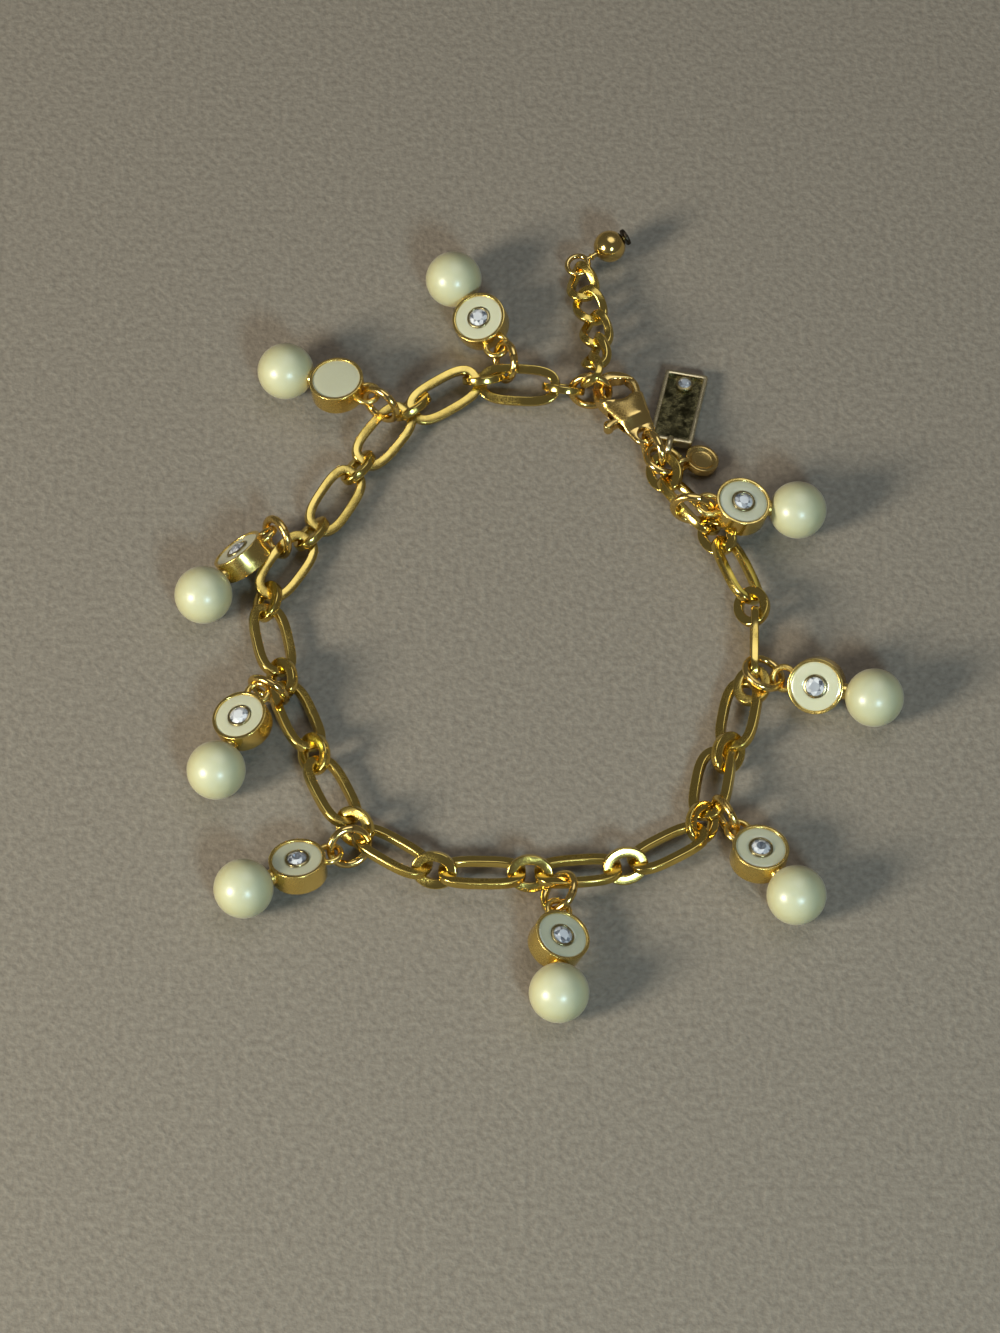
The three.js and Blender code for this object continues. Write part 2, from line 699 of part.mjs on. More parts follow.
function claspBodyGeometry() {
  const slotHigh = LEVER_THICK + 2 * FITTED_GAP;
  const beyond = HOOK_DIAMETER / 2 + 1;
  const slot = extruded(polygonShape([
    [SLOT_START_X, beyond], [SLOT_START_X, -beyond], [HOOK_CENTRE, -beyond],
    [HOOK_CENTRE, SLOT_STEP_Y], [SLOT_STEP_X, SLOT_STEP_Y], [SLOT_SHOULDER_X, beyond],
  ]), slotHigh, 0);
  // The gap that the gate closes: all of the hook's lower side that the gate reaches
  const mouth = cylinder(2 * (LEVER_REACH + FITTED_GAP), -CLASP_THICK, CLASP_THICK, 48);
  mouth.translate(LEVER_PIVOT_X, LEVER_PIVOT_Y, 0);
  const lowSide = extruded(polygonShape([
    [MOUTH_X, MOUTH_Y], [MOUTH_BACK_X, -beyond],
    [HOOK_CENTRE + beyond, -beyond], [HOOK_CENTRE + beyond, MOUTH_Y],
  ]), 2 * CLASP_THICK, 0);
  const opening = geometryOf(solidOf(mouth).intersect(solidOf(lowSide)));
  const shell = solidOf(extruded(claspOutline(), CLASP_THICK, CLASP_BEVEL));
  const open = cutGeometry(shell, [slot, opening, ...claspTapers()]);
  const rivetHalf = CLASP_THICK / 2 - RIVET_INSET;
  const rivet = cylinder(RIVET_DIAMETER, -rivetHalf, rivetHalf, SMALL_SIDES);
  rivet.translate(LEVER_PIVOT_X, LEVER_PIVOT_Y, 0);
  return fusedGeometry([open, rivet]);
}

// Clasp lever: hub on the rivet, gate along the hook's open side, arm to the thumb tab
function claspLeverGeometry() {
  const band = new THREE.Shape();
  const outside = HOOK_DIAMETER / 2 - FITTED_GAP;
  const inside = HOOK_HOLE / 2 + FITTED_GAP;
  band.absarc(HOOK_CENTRE, 0, outside, radians(GATE_START), radians(GATE_END), false);
  band.absarc(HOOK_CENTRE, 0, inside, radians(GATE_END), radians(GATE_ROOT_START), true);
  const limit = cylinder(2 * LEVER_REACH, -CLASP_THICK, CLASP_THICK, 48);
  limit.translate(LEVER_PIVOT_X, LEVER_PIVOT_Y, 0);
  const gate = geometryOf(solidOf(extruded(band, LEVER_THICK, 0)).intersect(solidOf(limit)));

  const halfThick = LEVER_THICK / 2;
  const hub = cylinder(LEVER_HUB, -halfThick, halfThick, ROUND_SIDES);
  hub.translate(LEVER_PIVOT_X, LEVER_PIVOT_Y, 0);
  const tab = cylinder(TAB_DIAMETER, -halfThick, halfThick, SMALL_SIDES);
  tab.translate(TAB_X, TAB_Y, 0);
  const half = TAB_DIAMETER / 3;
  const arm = extruded(polygonShape([
    [LEVER_PIVOT_X - half, LEVER_PIVOT_Y], [LEVER_PIVOT_X + half, LEVER_PIVOT_Y],
    [TAB_X + half, TAB_Y], [TAB_X - half, TAB_Y],
  ]), LEVER_THICK, 0);
  const root = extruded(polygonShape([
    [LEVER_PIVOT_X, LEVER_PIVOT_Y + ROOT_HALF], [LEVER_PIVOT_X, LEVER_PIVOT_Y - ROOT_HALF],
    ROOT_BACK, ROOT_FRONT,
  ]), LEVER_THICK, 0);
  const bore = cylinder(RIVET_DIAMETER + 2 * FITTED_GAP, -CLASP_THICK, CLASP_THICK, SMALL_SIDES);
  bore.translate(LEVER_PIVOT_X, LEVER_PIVOT_Y, 0);
  return cutGeometry(fused([gate, root, hub, arm, tab]), [bore]);
}

function addClasp() {
  addMesh('clasp_body', claspBodyGeometry(), gold, frames.clasp);
  addMesh('clasp_lever', claspLeverGeometry(), gold, frames.clasp);
}

// Extender: curb links from the end ring's upper side, then the headed pin with its ball
function addExtender() {
  const ringRadius = (RING_DIAMETER - RING_WIRE) / 2;
  const turn = radians(EXTENDER_START);
  const start = within(frames.end_ring, ringRadius * Math.cos(turn), ringRadius * Math.sin(turn), 0);
  const clear = CURB_LENGTH - 2 * CURB_WIRE;
  const links = [];
  const firstWay = direction(CURB_LINKS[0].heading, CURB_LINKS[0].rise);
  const contact = start.clone().addScaledVector(firstWay, -RING_WIRE / 2 - HANGING_GAP);
  let way = firstWay;
  for (const row of CURB_LINKS) {
    way = direction(row.heading, row.rise);
    const centre = contact.clone().addScaledVector(way, clear / 2);
    links.push(curbLink().applyMatrix4(rolledFrame(centre, way, row.roll)));
    contact.addScaledVector(way, clear + LINK_BITE);
  }
  addMesh('extender_chain', fusedGeometry(links), gold);

  contact.addScaledVector(way, -LINK_BITE - HANGING_GAP - EYE_WIRE / 2);
  const eyeRadius = (EYE_DIAMETER - EYE_WIRE) / 2;
  const eye = contact.clone().addScaledVector(way, eyeRadius);
  const pin = rolledFrame(eye, direction(PIN_HEADING, PIN_RISE), EYE_ROLL);
  const ballAt = EYE_DIAMETER / 2 + PIN_NECK + BALL_DIAMETER / 2;
  const headAt = ballAt + BALL_DIAMETER / 2 + FITTED_GAP;
  const loop = roundRing(EYE_DIAMETER, EYE_WIRE, SHORT_LINK_STEPS);
  const shank = cylinder(PIN_DIAMETER, eyeRadius, headAt + PIN_HEAD_THICK / 2, SMALL_SIDES);
  const head = cylinder(PIN_HEAD_DIAMETER, headAt, headAt + PIN_HEAD_THICK, SMALL_SIDES);
  shank.rotateY(Math.PI / 2);
  head.rotateY(Math.PI / 2);
  addMesh('end_pin', fusedGeometry([loop, shank, head]), gold, pin);
  const ball = ballGeometry();
  ball.rotateY(Math.PI / 2);
  ball.translate(ballAt, 0, 0);
  addMesh('end_ball', ball, gold, pin);
}

function ballGeometry() {
  const radius = BALL_DIAMETER / 2;
  const hole = PIN_DIAMETER / 2 + FITTED_GAP;
  const mouth = Math.asin(hole / radius);
  const profile = [];
  for (let row = 0; row <= PEARL_ROWS; row++) {
    const angle = Math.PI - mouth - (Math.PI - 2 * mouth) * row / PEARL_ROWS;
    profile.push([radius * Math.sin(angle), radius * Math.cos(angle)]);
  }
  profile.push([...profile[0]]);
  return turned(profile, PEARL_SIDES);
}

// Tag: a shallow tray with a loop across its near end; its frame has Y along it from the loop
const tagLoopAt = -TAG_LENGTH / 2 - TAG_LOOP_DIAMETER / 2 + TAG_LOOP_WIRE;
const tagLoopEnd = tagLoopAt - (TAG_LOOP_DIAMETER - TAG_LOOP_WIRE) / 2;

function tagGeometry() {
  const plate = new THREE.BoxGeometry(TAG_WIDTH, TAG_LENGTH, TAG_THICK);
  const loop = roundRing(TAG_LOOP_DIAMETER, TAG_LOOP_WIRE, SHORT_LINK_STEPS);
  loop.rotateY(Math.PI / 2);
  loop.translate(0, tagLoopAt, 0);
  const inner = [TAG_WIDTH - 2 * TAG_RIM, TAG_LENGTH - 2 * TAG_RIM];
  const recess = new THREE.BoxGeometry(...inner, 2 * TAG_DEPTH);
  recess.translate(0, 0, TAG_THICK / 2);
  return cutGeometry(fused([plate, loop]), [recess]);
}

function discGeometry() {
  const radius = DISC_DIAMETER / 2;
  const half = DISC_THICK / 2;
  const disc = turned([
    [0, -half], [radius, -half], [radius, half], [radius - DISC_RIM, half],
    [radius - 2 * DISC_RIM, half - DISC_DISH], [0, half - DISC_DISH],
  ], ROUND_SIDES);
  const loop = roundRing(DISC_LOOP_DIAMETER, DISC_LOOP_WIRE, SMALL_SIDES);
  loop.rotateX(Math.PI / 2);
  loop.translate(-radius - DISC_LOOP_DIAMETER / 2 + DISC_LOOP_WIRE, 0, 0);
  return fusedGeometry([disc, loop]);
}

// The frames of the tag, its ring and the disc charm
function tagPlace(pose, discPose) {
  const ringRadius = (RING_DIAMETER - RING_WIRE) / 2;
  const claspRing = frames.clasp_ring;
  const at = radians(pose.at);
  const start = within(claspRing, ringRadius * Math.cos(at), ringRadius * Math.sin(at), 0);
  const wire = columnOf(claspRing, 0).multiplyScalar(-Math.sin(at));
  wire.addScaledVector(columnOf(claspRing, 1), Math.cos(at));
  const loop = start.clone().addScaledVector(direction(pose.leads, pose.rise), RING_REACH);
  const along = leaning(loop, pose.heading, TAG_THICK / 2, TAG_LENGTH / 2 - tagLoopEnd);
  const centre = loop.clone().addScaledVector(along, -tagLoopEnd);
  const tag = frameAt(centre, along.clone().cross(UP), along);
  const ring = ringFrame(start, wire, loop, columnOf(tag, 2), pose.turn);

  const turn = radians(discPose.at);
  const inset = RING_DIAMETER / 2 - RING_WIRE - HANGING_GAP - DISC_LOOP_WIRE / 2;
  const hang = within(ring, inset * Math.cos(turn), inset * Math.sin(turn), 0);
  const reach = DISC_LOOP_DIAMETER - 1.5 * DISC_LOOP_WIRE;
  const way = leaning(hang, discPose.heading, DISC_THICK / 2, reach + DISC_DIAMETER);
  const middle = hang.clone().addScaledVector(way, reach + DISC_DIAMETER / 2);
  return { tag, ring, disc: rolledFrame(middle, way, discPose.roll) };
}

function addTagAndDisc() {
  const place = tagPlace(TAG_POSE, DISC_POSE);
  addMesh('tag', tagGeometry(), darkGold, place.tag);
  const floor = TAG_THICK / 2 - TAG_DEPTH + FITTED_GAP;
  const top = TAG_THICK / 2 + STONE_STANDS / 2;
  const stone = stoneGeometry(TAG_STONE_DIAMETER, BEZEL_WALL, floor, top);
  stone.translate(0, TAG_LENGTH / 2 - TAG_RIM - TAG_STONE_DIAMETER / 2 - FITTED_GAP, 0);
  addMesh('tag_crystal', stone, crystal, place.tag);
  addMesh('tag_ring', roundRing(RING_DIAMETER, RING_WIRE, RING_STEPS), gold, place.ring);
  addMesh('small_disc_charm', discGeometry(), gold, place.disc);
}

addChain();
CHARMS.forEach((row, index) => addCharm(row, index + 1));
addClasp();
addExtender();
addTagAndDisc();

// The whole bracelet is set with its box centred over the origin and standing on Z = 0
bracelet.updateMatrixWorld(true);
const box = new THREE.Box3().setFromObject(bracelet, true);
const middle = box.getCenter(new THREE.Vector3());
bracelet.position.set(-middle.x, -middle.y, -box.min.z);
bracelet.updateMatrixWorld(true);

export default bracelet;
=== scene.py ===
"""Charm bracelet lying on a pale floor: polished gold wire and castings, enamelled drums with
bezel-set stones, satin pearls. The chain's route is the one that the solids follow."""
import math

import bmesh
import bpy
import numpy as np
from mathutils import Matrix, Vector


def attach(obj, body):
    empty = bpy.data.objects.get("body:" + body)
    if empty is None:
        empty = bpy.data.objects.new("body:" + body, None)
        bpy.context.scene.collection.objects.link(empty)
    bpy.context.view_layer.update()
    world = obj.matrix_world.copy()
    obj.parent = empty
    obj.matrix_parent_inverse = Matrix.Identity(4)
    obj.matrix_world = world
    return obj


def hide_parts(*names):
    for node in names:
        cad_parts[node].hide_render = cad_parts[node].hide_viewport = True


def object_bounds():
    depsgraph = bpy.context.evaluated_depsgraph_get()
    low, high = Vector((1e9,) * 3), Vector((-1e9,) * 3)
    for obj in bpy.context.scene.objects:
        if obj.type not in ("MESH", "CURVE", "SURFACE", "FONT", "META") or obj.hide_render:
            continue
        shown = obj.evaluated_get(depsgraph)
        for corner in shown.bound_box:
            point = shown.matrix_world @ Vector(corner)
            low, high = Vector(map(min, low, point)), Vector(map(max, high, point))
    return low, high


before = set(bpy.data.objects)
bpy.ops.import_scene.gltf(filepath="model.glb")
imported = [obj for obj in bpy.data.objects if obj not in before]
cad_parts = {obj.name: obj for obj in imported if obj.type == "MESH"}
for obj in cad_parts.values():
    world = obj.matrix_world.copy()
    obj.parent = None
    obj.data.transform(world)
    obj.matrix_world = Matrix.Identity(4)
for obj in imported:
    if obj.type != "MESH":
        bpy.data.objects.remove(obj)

solid_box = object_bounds()
MM = 0.001
UP = np.array([0.0, 0.0, 1.0])

# Sizes in millimetres, as the solids have them
LONG_LINKS = 17
LONG_LENGTH, LONG_WIDTH, LONG_SQUARENESS = 8.9, 4.5, 3.0
SHORT_LENGTH, SHORT_WIDTH, SHORT_SQUARENESS = 4.7, 3.9, 2.0
LINK_WIDE, LINK_HIGH, LINK_BITE = 1.0, 0.8, 0.06
HANGING_GAP = 0.1
CURVE_ROOM = 0.15
RING_DIAMETER, RING_WIRE, RING_REACH = 4.7, 0.7, 2.1
RING_MIDDLE = (RING_DIAMETER - RING_WIRE) / 2
DRUM_DIAMETER, DRUM_THICK, DRUM_RIM, ENAMEL_RECESS = 5.8, 2.4, 0.35, 0.15
LOOP_WIDTH, LOOP_REACH, LOOP_WIRE = 3.0, 2.1, 0.65
BEZEL_DIAMETER, BEZEL_WALL, BEZEL_SEAT, STONE_STANDS = 2.5, 0.25, 0.6, 0.4
PEARL_DIAMETER, PEARL_GAP = 6.1, 0.17
PEG_DIAMETER, PEG_DEPTH = 1.1, 1.1
HOOK_CENTRE, HOOK_HOLE, HOOK_REST_ANGLE = 6.2, 3.0, 45
CURB_LENGTH, CURB_WIDTH, CURB_WIRE, CURB_TWIST = 4.9, 3.7, 0.8, 0.55
EYE_DIAMETER, EYE_WIRE = 2.9, 0.6
BALL_DIAMETER, PIN_DIAMETER, PIN_NECK, FITTED_GAP = 3.5, 0.6, 0.9, 0.1
PIN_HEAD_DIAMETER, PIN_HEAD_THICK = 1.9, 0.35
TAG_WIDTH, TAG_LENGTH, TAG_THICK, TAG_RIM, TAG_DEPTH = 4.6, 9.6, 1.1, 0.45, 0.5
TAG_LOOP_DIAMETER, TAG_LOOP_WIRE, TAG_STONE = 2.8, 0.7, 1.9
TAG_LOOP_AT = -TAG_LENGTH / 2 - TAG_LOOP_DIAMETER / 2 + TAG_LOOP_WIRE
DISC_DIAMETER, DISC_THICK, DISC_RIM, DISC_DISH = 3.6, 0.9, 0.35, 0.3
DISC_LOOP_DIAMETER, DISC_LOOP_WIRE = 2.2, 0.5

CHAIN_ROUTE = [
    [7.9, 29.9, 2.3], [6.4, 29.9, 2.3], [3.6, 30.3, 2.1], [-4.6, 32.1, 1.9],
    [-12.3, 28.8, 1.9], [-18.1, 21.1, 1.9], [-22.9, 12.5, 1.9], [-27.8, 4.8, 1.9],
    [-26.7, -4.5, 1.9], [-23.0, -14.5, 1.9], [-19.3, -23.0, 1.9], [-12.0, -28.8, 1.9],
    [-2.3, -29.6, 1.9], [7.4, -29.2, 1.9], [16.1, -25.7, 1.9], [19.1, -17.7, 1.9],
    [22.2, -10.1, 2.2], [23.3, 0, 2.4], [20.9, 9.3, 2.1], [14.9, 17.5, 2.1],
    [12.8, 22.6, 2.4],
]
ROUTE_SAMPLES = 1200
ROUTE_HALVINGS = 30
LONG_ROLL, SHORT_ROLL = 20, -45
LINK_ROLLS = {
    "short_1": -50, "long_1": 25, "short_15": 10, "long_15": 90, "short_16": 25,
    "long_16": -37, "short_17": 25, "long_17": -40, "short_18": 25,
}
LINK_SLACKS = {"long_1": 1.0, "long_2": 1.1, "long_13": 1.1, "long_14": 1.4}
END_RING_ROLL, CLASP_RING_ROLL = 75, 80
CURB_LINKS = [(80, -25, 80), (86, -12, 50), (95, -4, 20), (108, 0, 10), (100, 0, 35)]
EXTENDER_START, PIN_HEADING, PIN_RISE, EYE_ROLL = 95, 31, 8, 0
TAG_AT, TAG_RING_LEADS, TAG_RING_RISE, TAG_RING_TURN, TAG_HEADING = 180, 70, -22, 8, 78
DISC_AT, DISC_HEADING, DISC_ROLL = 95, 24, 179
CHARMS = range(1, 10)

# What is drawn other than the solids have it, in millimetres
FINE_GAP = 0.01  # keeps the faces of two pieces out of one plane
LINK_EDGE, CURB_EDGE, CURB_FLATTENED = 0.14, 0.2, 0.1
RING_THICKER, RING_SPLIT_SHARE = 0.14, 0.005
NEARLY_ROUND = 0.499  # a square section's corner radius, as a share of its side
ENAMEL_DOME = 0.07
STONE_SHOWS = 0.6  # the share of a stone's standing height that its bezel leaves free
CASTING_GRAIN, CASTING_PASSES, CASTING_STATIONS = 0.07, 60, 25
# The stones' painted glints and painted shade: a seed, and a spread with more facets painted light
# than dark
PAINTED_TONE_SEED, PAINTED_TONE_SPREAD = 5, (0.9, 0.5)  # more clear facets than dark ones


# Frames, as 4 x 4 matrices in millimetres: X along the piece
def unit(vector):
    return vector / np.linalg.norm(vector)


def direction(heading, rise):
    flat = math.cos(math.radians(rise))
    turn = math.radians(heading)
    return np.array([flat * math.cos(turn), flat * math.sin(turn), math.sin(math.radians(rise))])


def frame_at(point, along, across):
    x = unit(along)
    y = unit(across - x * across.dot(x))
    made = np.eye(4)
    made[:3, 0], made[:3, 1], made[:3, 2], made[:3, 3] = x, y, np.cross(x, y), point
    return made


def rolled_frame(point, along, roll):
    side = unit(np.cross(along, UP))
    lift = unit(np.cross(side, along))
    turn = math.radians(roll)
    return frame_at(point, along, side * math.cos(turn) + lift * math.sin(turn))


def within(made, x, y, z):
    return made[:3, :3] @ np.array([x, y, z]) + made[:3, 3]


def on_ring(ring, reach, degrees):
    turn = math.radians(degrees)
    return within(ring, reach * math.cos(turn), reach * math.sin(turn), 0)


def ring_frame(first, first_wire, second, second_wire, turn):
    """A ring through two loops: X from one to the other, and its plane across their wires."""
    along = unit(second - first)
    one = unit(first_wire - along * first_wire.dot(along))
    two = unit(second_wire - along * second_wire.dot(along))
    if one.dot(two) < 0:
        two = -two
    normal = unit(one + two)
    side = np.cross(normal, along)
    lean = math.radians(turn)
    across = side * math.cos(lean) + np.cross(along, side) * math.sin(lean)
    return frame_at((first + second) / 2, along, across)


def leaning(loop, heading, rest_height, length):
    """The way from a loop to a far end that rests on the surface."""
    return direction(heading, math.degrees(math.asin((rest_height - loop[2]) / length)))


# The chain's route: a closed centripetal spline through its points
def route_samples(points):
    count = len(points)
    samples = []
    for step in range(ROUTE_SAMPLES):
        place = count * step / ROUTE_SAMPLES
        start = int(place)
        share = place - start
        a, b, c, d = (points[(start + k) % count] for k in (-1, 0, 1, 2))
        one, two, three = (
            np.dot(q - p, q - p) ** 0.25 for p, q in ((a, b), (b, c), (c, d))
        )
        leave = ((b - a) / one - (c - a) / (one + two) + (c - b) / two) * two
        arrive = ((c - b) / two - (d - b) / (two + three) + (d - c) / three) * two
        square = -3 * b + 3 * c - 2 * leave - arrive
        cube = 2 * b - 2 * c + leave + arrive
        samples.append(b + leave * share + square * share ** 2 + cube * share ** 3)
    return samples


def walk(samples, chords):
    points = [samples[0]]
    index = 0
    share = 0.0
    for chord in chords:
        origin = points[-1]
        while np.linalg.norm(samples[(index + 1) % ROUTE_SAMPLES] - origin) < chord:
            index += 1
        start = samples[index % ROUTE_SAMPLES] - origin
        step = samples[(index + 1) % ROUTE_SAMPLES] - origin - start
        a, b, c = step.dot(step), 2 * start.dot(step), start.dot(start) - chord ** 2
        share = (-b + math.sqrt(max(b * b - 4 * a * c, 0))) / (2 * a)
        points.append(origin + start + step * share)
    return points, (index + share) / ROUTE_SAMPLES


def slack_offset(slack):
    half_length = LONG_LENGTH / 2 - LINK_WIDE
    half_width = LONG_WIDTH / 2 - LINK_WIDE
    share = 1 - (slack + LINK_WIDE / 4) / half_length
    half = half_width * (1 - share ** LONG_SQUARENESS) ** (1 / LONG_SQUARENESS)
    return half - LINK_HIGH / 2 + LINK_BITE


def loop_items():
    ring_clear = RING_DIAMETER - 2 * RING_WIRE
    items = [["end_ring", ring_clear, END_RING_ROLL]]
    for number in range(1, LONG_LINKS + 2):
        name = f"short_{number}"
        items.append([name, SHORT_LENGTH - 2 * LINK_WIDE, LINK_ROLLS.get(name, SHORT_ROLL)])
        if number <= LONG_LINKS:
            name = f"long_{number}"
            items.append([name, LONG_LENGTH - 2 * LINK_WIDE, LINK_ROLLS.get(name, LONG_ROLL)])
    items.append(["clasp_ring", ring_clear, CLASP_RING_ROLL])
    seat = (HOOK_HOLE - RING_WIRE) / 2 - HANGING_GAP - CURVE_ROOM
    turn = math.radians(HOOK_REST_ANGLE)
    between = math.hypot(HOOK_CENTRE + seat * math.cos(turn), seat * math.sin(turn))
    items.append(["clasp", between + RING_WIRE + 2 * HANGING_GAP, 0])
    return items


def chord_of(items, index):
    def spare(other):
        linked = all("_" in n and n.split("_")[0] in ("short", "long") for n in (name, other))
        return (-LINK_BITE if linked else HANGING_GAP) / 2
    name, clear, _ = items[index]
    reach = clear - spare(items[index - 1][0]) - spare(items[(index + 1) % len(items)][0])
    slack = LINK_SLACKS.get(name)
    return math.hypot(reach - slack, slack_offset(slack)) if slack else reach


def chain_frames():
    items = loop_items()
    chords = [chord_of(items, index) for index in range(len(items))]
    low, high = 0.5, 2.0
    for _ in range(ROUTE_HALVINGS):
        scale = (low + high) / 2
        points = [np.array([x * scale, y * scale, z]) for x, y, z in CHAIN_ROUTE]
        contacts, turns = walk(route_samples(points), chords)
        if turns > 1:
            low = scale
        else:
            high = scale
    frames = {}
    for (name, clear, roll), start, end in zip(items, contacts, contacts[1:]):
        made = rolled_frame((start + end) / 2, unit(end - start), roll)
        slack = LINK_SLACKS.get(name)
        if slack:
            reach = clear + LINK_BITE
            turn = -math.atan2(slack_offset(slack), reach - slack)
            cos, sin = math.cos(turn), math.sin(turn)
            made[:3, :3] = made[:3, :3] @ np.array([[cos, -sin, 0], [sin, cos, 0], [0, 0, 1]])
            made[:3, 3] = start + made[:3, 0] * reach / 2
        frames[name] = made
    return frames


def mesh_points(mesh):
    flat = np.empty(len(mesh.vertices) * 3)
    mesh.vertices.foreach_get("co", flat)
    return flat.reshape(-1, 3)


def node_points(name):
    return np.unique((mesh_points(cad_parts[name].data) / MM).round(4), axis=0)


def node_centre(name):
    return node_points(name).mean(axis=0)


def node_ring_frame(name):
    """A round ring's frame from its solid: Z through its hole, and X up towards the viewer."""
    points = node_points(name)
    centre = points.mean(axis=0)
    normal = np.linalg.svd(points - centre)[2][2]
    upward = np.array([0.35, -0.3, 1.0])
    along = unit(upward - normal * upward.dot(normal))
    return frame_at(centre, along, np.cross(normal, along))


def charm_frame(number):
    """A charm's frame from its solids: Z out of its stone's side, Y from pearl to loop."""
    stone, enamel, pearl = (
        node_centre(f"charm_{number}_{piece}") for piece in ("crystal", "enamel", "pearl")
    )
    out = unit(stone - enamel)
    centre = enamel + out * (pearl - enamel).dot(out)
    back = unit(centre - pearl)
    return frame_at(centre, np.cross(back, out), back)


chain = chain_frames()
shift = node_centre("end_ring") - chain["end_ring"][:3, 3]
for laid_frame in chain.values():
    laid_frame[:3, 3] += shift
charm_frames = [charm_frame(number) for number in CHARMS]


def charm_nodes(piece):
    return [f"charm_{number}_{piece}" for number in CHARMS]


# Node helpers
def fill(node, inputs):
    """Links each named input of a node to a socket, or sets it to a constant."""
    for key, value in inputs.items():
        socket = node.inputs[key]
        if isinstance(value, bpy.types.NodeSocket):
            node.id_data.links.new(value, socket)
        else:
            socket.default_value = value


def add_node(tree, kind, inputs=None, **settings):
    node = tree.nodes.new(kind)
    for name, value in settings.items():
        setattr(node, name, value)
    fill(node, inputs or {})
    return node


def math_node(tree, operation, first, second=None):
    inputs = {0: first}
    if second is not None:
        inputs[1] = second
    return add_node(tree, "ShaderNodeMath", inputs, operation=operation).outputs[0]


def times(tree, first, second):
    return math_node(tree, "MULTIPLY", first, second)


def shaped(tree, kind, inputs=None, **settings):
    return add_node(tree, f"GeometryNode{kind}", inputs, **settings).outputs[0]


def new_sockets(tree, side, rows):
    for name, kind, default in rows:
        socket = tree.interface.new_socket(name, in_out=side, socket_type=kind)
        if default is not None:
            socket.default_value = default


# Geometry Nodes: one copy for each point, turned by its "turn"
def geometry_tree(name, *rows):
    tree = bpy.data.node_groups.new(name, "GeometryNodeTree")
    geometry = ("Geometry", "NodeSocketGeometry", None)
    new_sockets(tree, "INPUT", (geometry, *rows, ("Material", "NodeSocketMaterial", None)))
    new_sockets(tree, "OUTPUT", (geometry,))
    return tree, tree.nodes.new("NodeGroupInput").outputs


def wire_loop_tree():
    """Closed or split loops of wire, oval or squarer, flat or twisted."""
    tree, given = geometry_tree(
        "Wire loops", ("Length", "NodeSocketFloat", 0.009), ("Width", "NodeSocketFloat", 0.0045),
        ("Wire Wide", "NodeSocketFloat", 0.001), ("Wire High", "NodeSocketFloat", 0.0008),
        ("Edge Radius", "NodeSocketFloat", 0.0002), ("Squareness", "NodeSocketFloat", 2.0),
        ("Twist", "NodeSocketFloat", 0.0), ("Split", "NodeSocketBool", False),
        ("Split Share", "NodeSocketFloat", 0.004), ("Steps", "NodeSocketInt", 64),
    )
    circle = shaped(tree, "CurvePrimitiveCircle", {"Resolution": 192, "Radius": 1.0})
    place = shaped(tree, "InputPosition")
    xyz = add_node(tree, "ShaderNodeSeparateXYZ", {0: place}).outputs
    power = math_node(tree, "DIVIDE", 2.0, given["Squareness"])

    def bent(value, size):
        bow = math_node(tree, "POWER", math_node(tree, "ABSOLUTE", value), power)
        half = times(tree, math_node(tree, "SUBTRACT", size, given["Wire Wide"]), 0.5)
        return times(tree, times(tree, bow, math_node(tree, "SIGN", value)), half)

    lift = times(tree, times(tree, xyz[0], xyz[1]), -2.0)
    where = add_node(tree, "ShaderNodeCombineXYZ", {
        0: bent(xyz[0], given["Length"]), 1: bent(xyz[1], given["Width"]),
        2: times(tree, lift, given["Twist"]),
    })
    bowed = shaped(tree, "SetPosition", {"Geometry": circle, "Position": where.outputs[0]})
    trimmed = shaped(tree, "TrimCurve", {
        "Curve": bowed, "Start": given["Split Share"], "End": 1.0,
    }, mode="FACTOR")
    chosen = shaped(tree, "Switch", {
        "Switch": given["Split"], "False": bowed, "True": trimmed,
    }, input_type="GEOMETRY")
    even = shaped(tree, "ResampleCurve", {"Curve": chosen, "Count": given["Steps"]}, mode="COUNT")
    level = shaped(tree, "SetCurveNormal", {"Curve": even}, mode="Z_UP")
    section = shaped(tree, "CurvePrimitiveQuadrilateral", {
        "Width": given["Wire Wide"], "Height": given["Wire High"],
    }, mode="RECTANGLE")
    eased = shaped(tree, "FilletCurve", {
        "Curve": section, "Count": 4, "Radius": given["Edge Radius"], "Limit Radius": True,
    }, mode="POLY")
    wire = shaped(tree, "CurveToMesh", {
        "Curve": level, "Profile Curve": eased, "Fill Caps": True,
    })
    finish_copies(tree, given, shaped(tree, "SetShadeSmooth", {"Geometry": wire}))
    return tree


def finish_copies(tree, given, instance):
    turn = shaped(tree, "InputNamedAttribute", {"Name": "turn"}, data_type="FLOAT_VECTOR")
    rotation = add_node(tree, "FunctionNodeEulerToRotation", {0: turn}).outputs[0]
    copies = shaped(tree, "InstanceOnPoints", {
        "Points": given["Geometry"], "Instance": instance, "Rotation": rotation,
    })
    real = shaped(tree, "RealizeInstances", {"Geometry": copies})
    dressed = shaped(tree, "SetMaterial", {"Geometry": real, "Material": given["Material"]})
    add_node(tree, "NodeGroupOutput", {0: dressed})


def copy_tree():
    """Copies of one finished piece, such as a drum, one for each charm."""
    tree, given = geometry_tree("Charm copies", ("Piece", "NodeSocketObject", None))
    piece = add_node(tree, "GeometryNodeObjectInfo", {
        "Object": given["Piece"], "As Instance": True,
    })
    finish_copies(tree, given, piece.outputs["Geometry"])
    return tree


def linked_object(name, data):
    made = bpy.data.objects.new(name, data)
    bpy.context.scene.collection.objects.link(made)
    return made


def evaluated_mesh(made, name):
    """The object's mesh with its modifiers, as a plain mesh; the modifiers are then removed."""
    graph = bpy.context.evaluated_depsgraph_get()
    mesh = bpy.data.meshes.new_from_object(made.evaluated_get(graph), depsgraph=graph)
    mesh.name = name
    made.modifiers.clear()
    return mesh


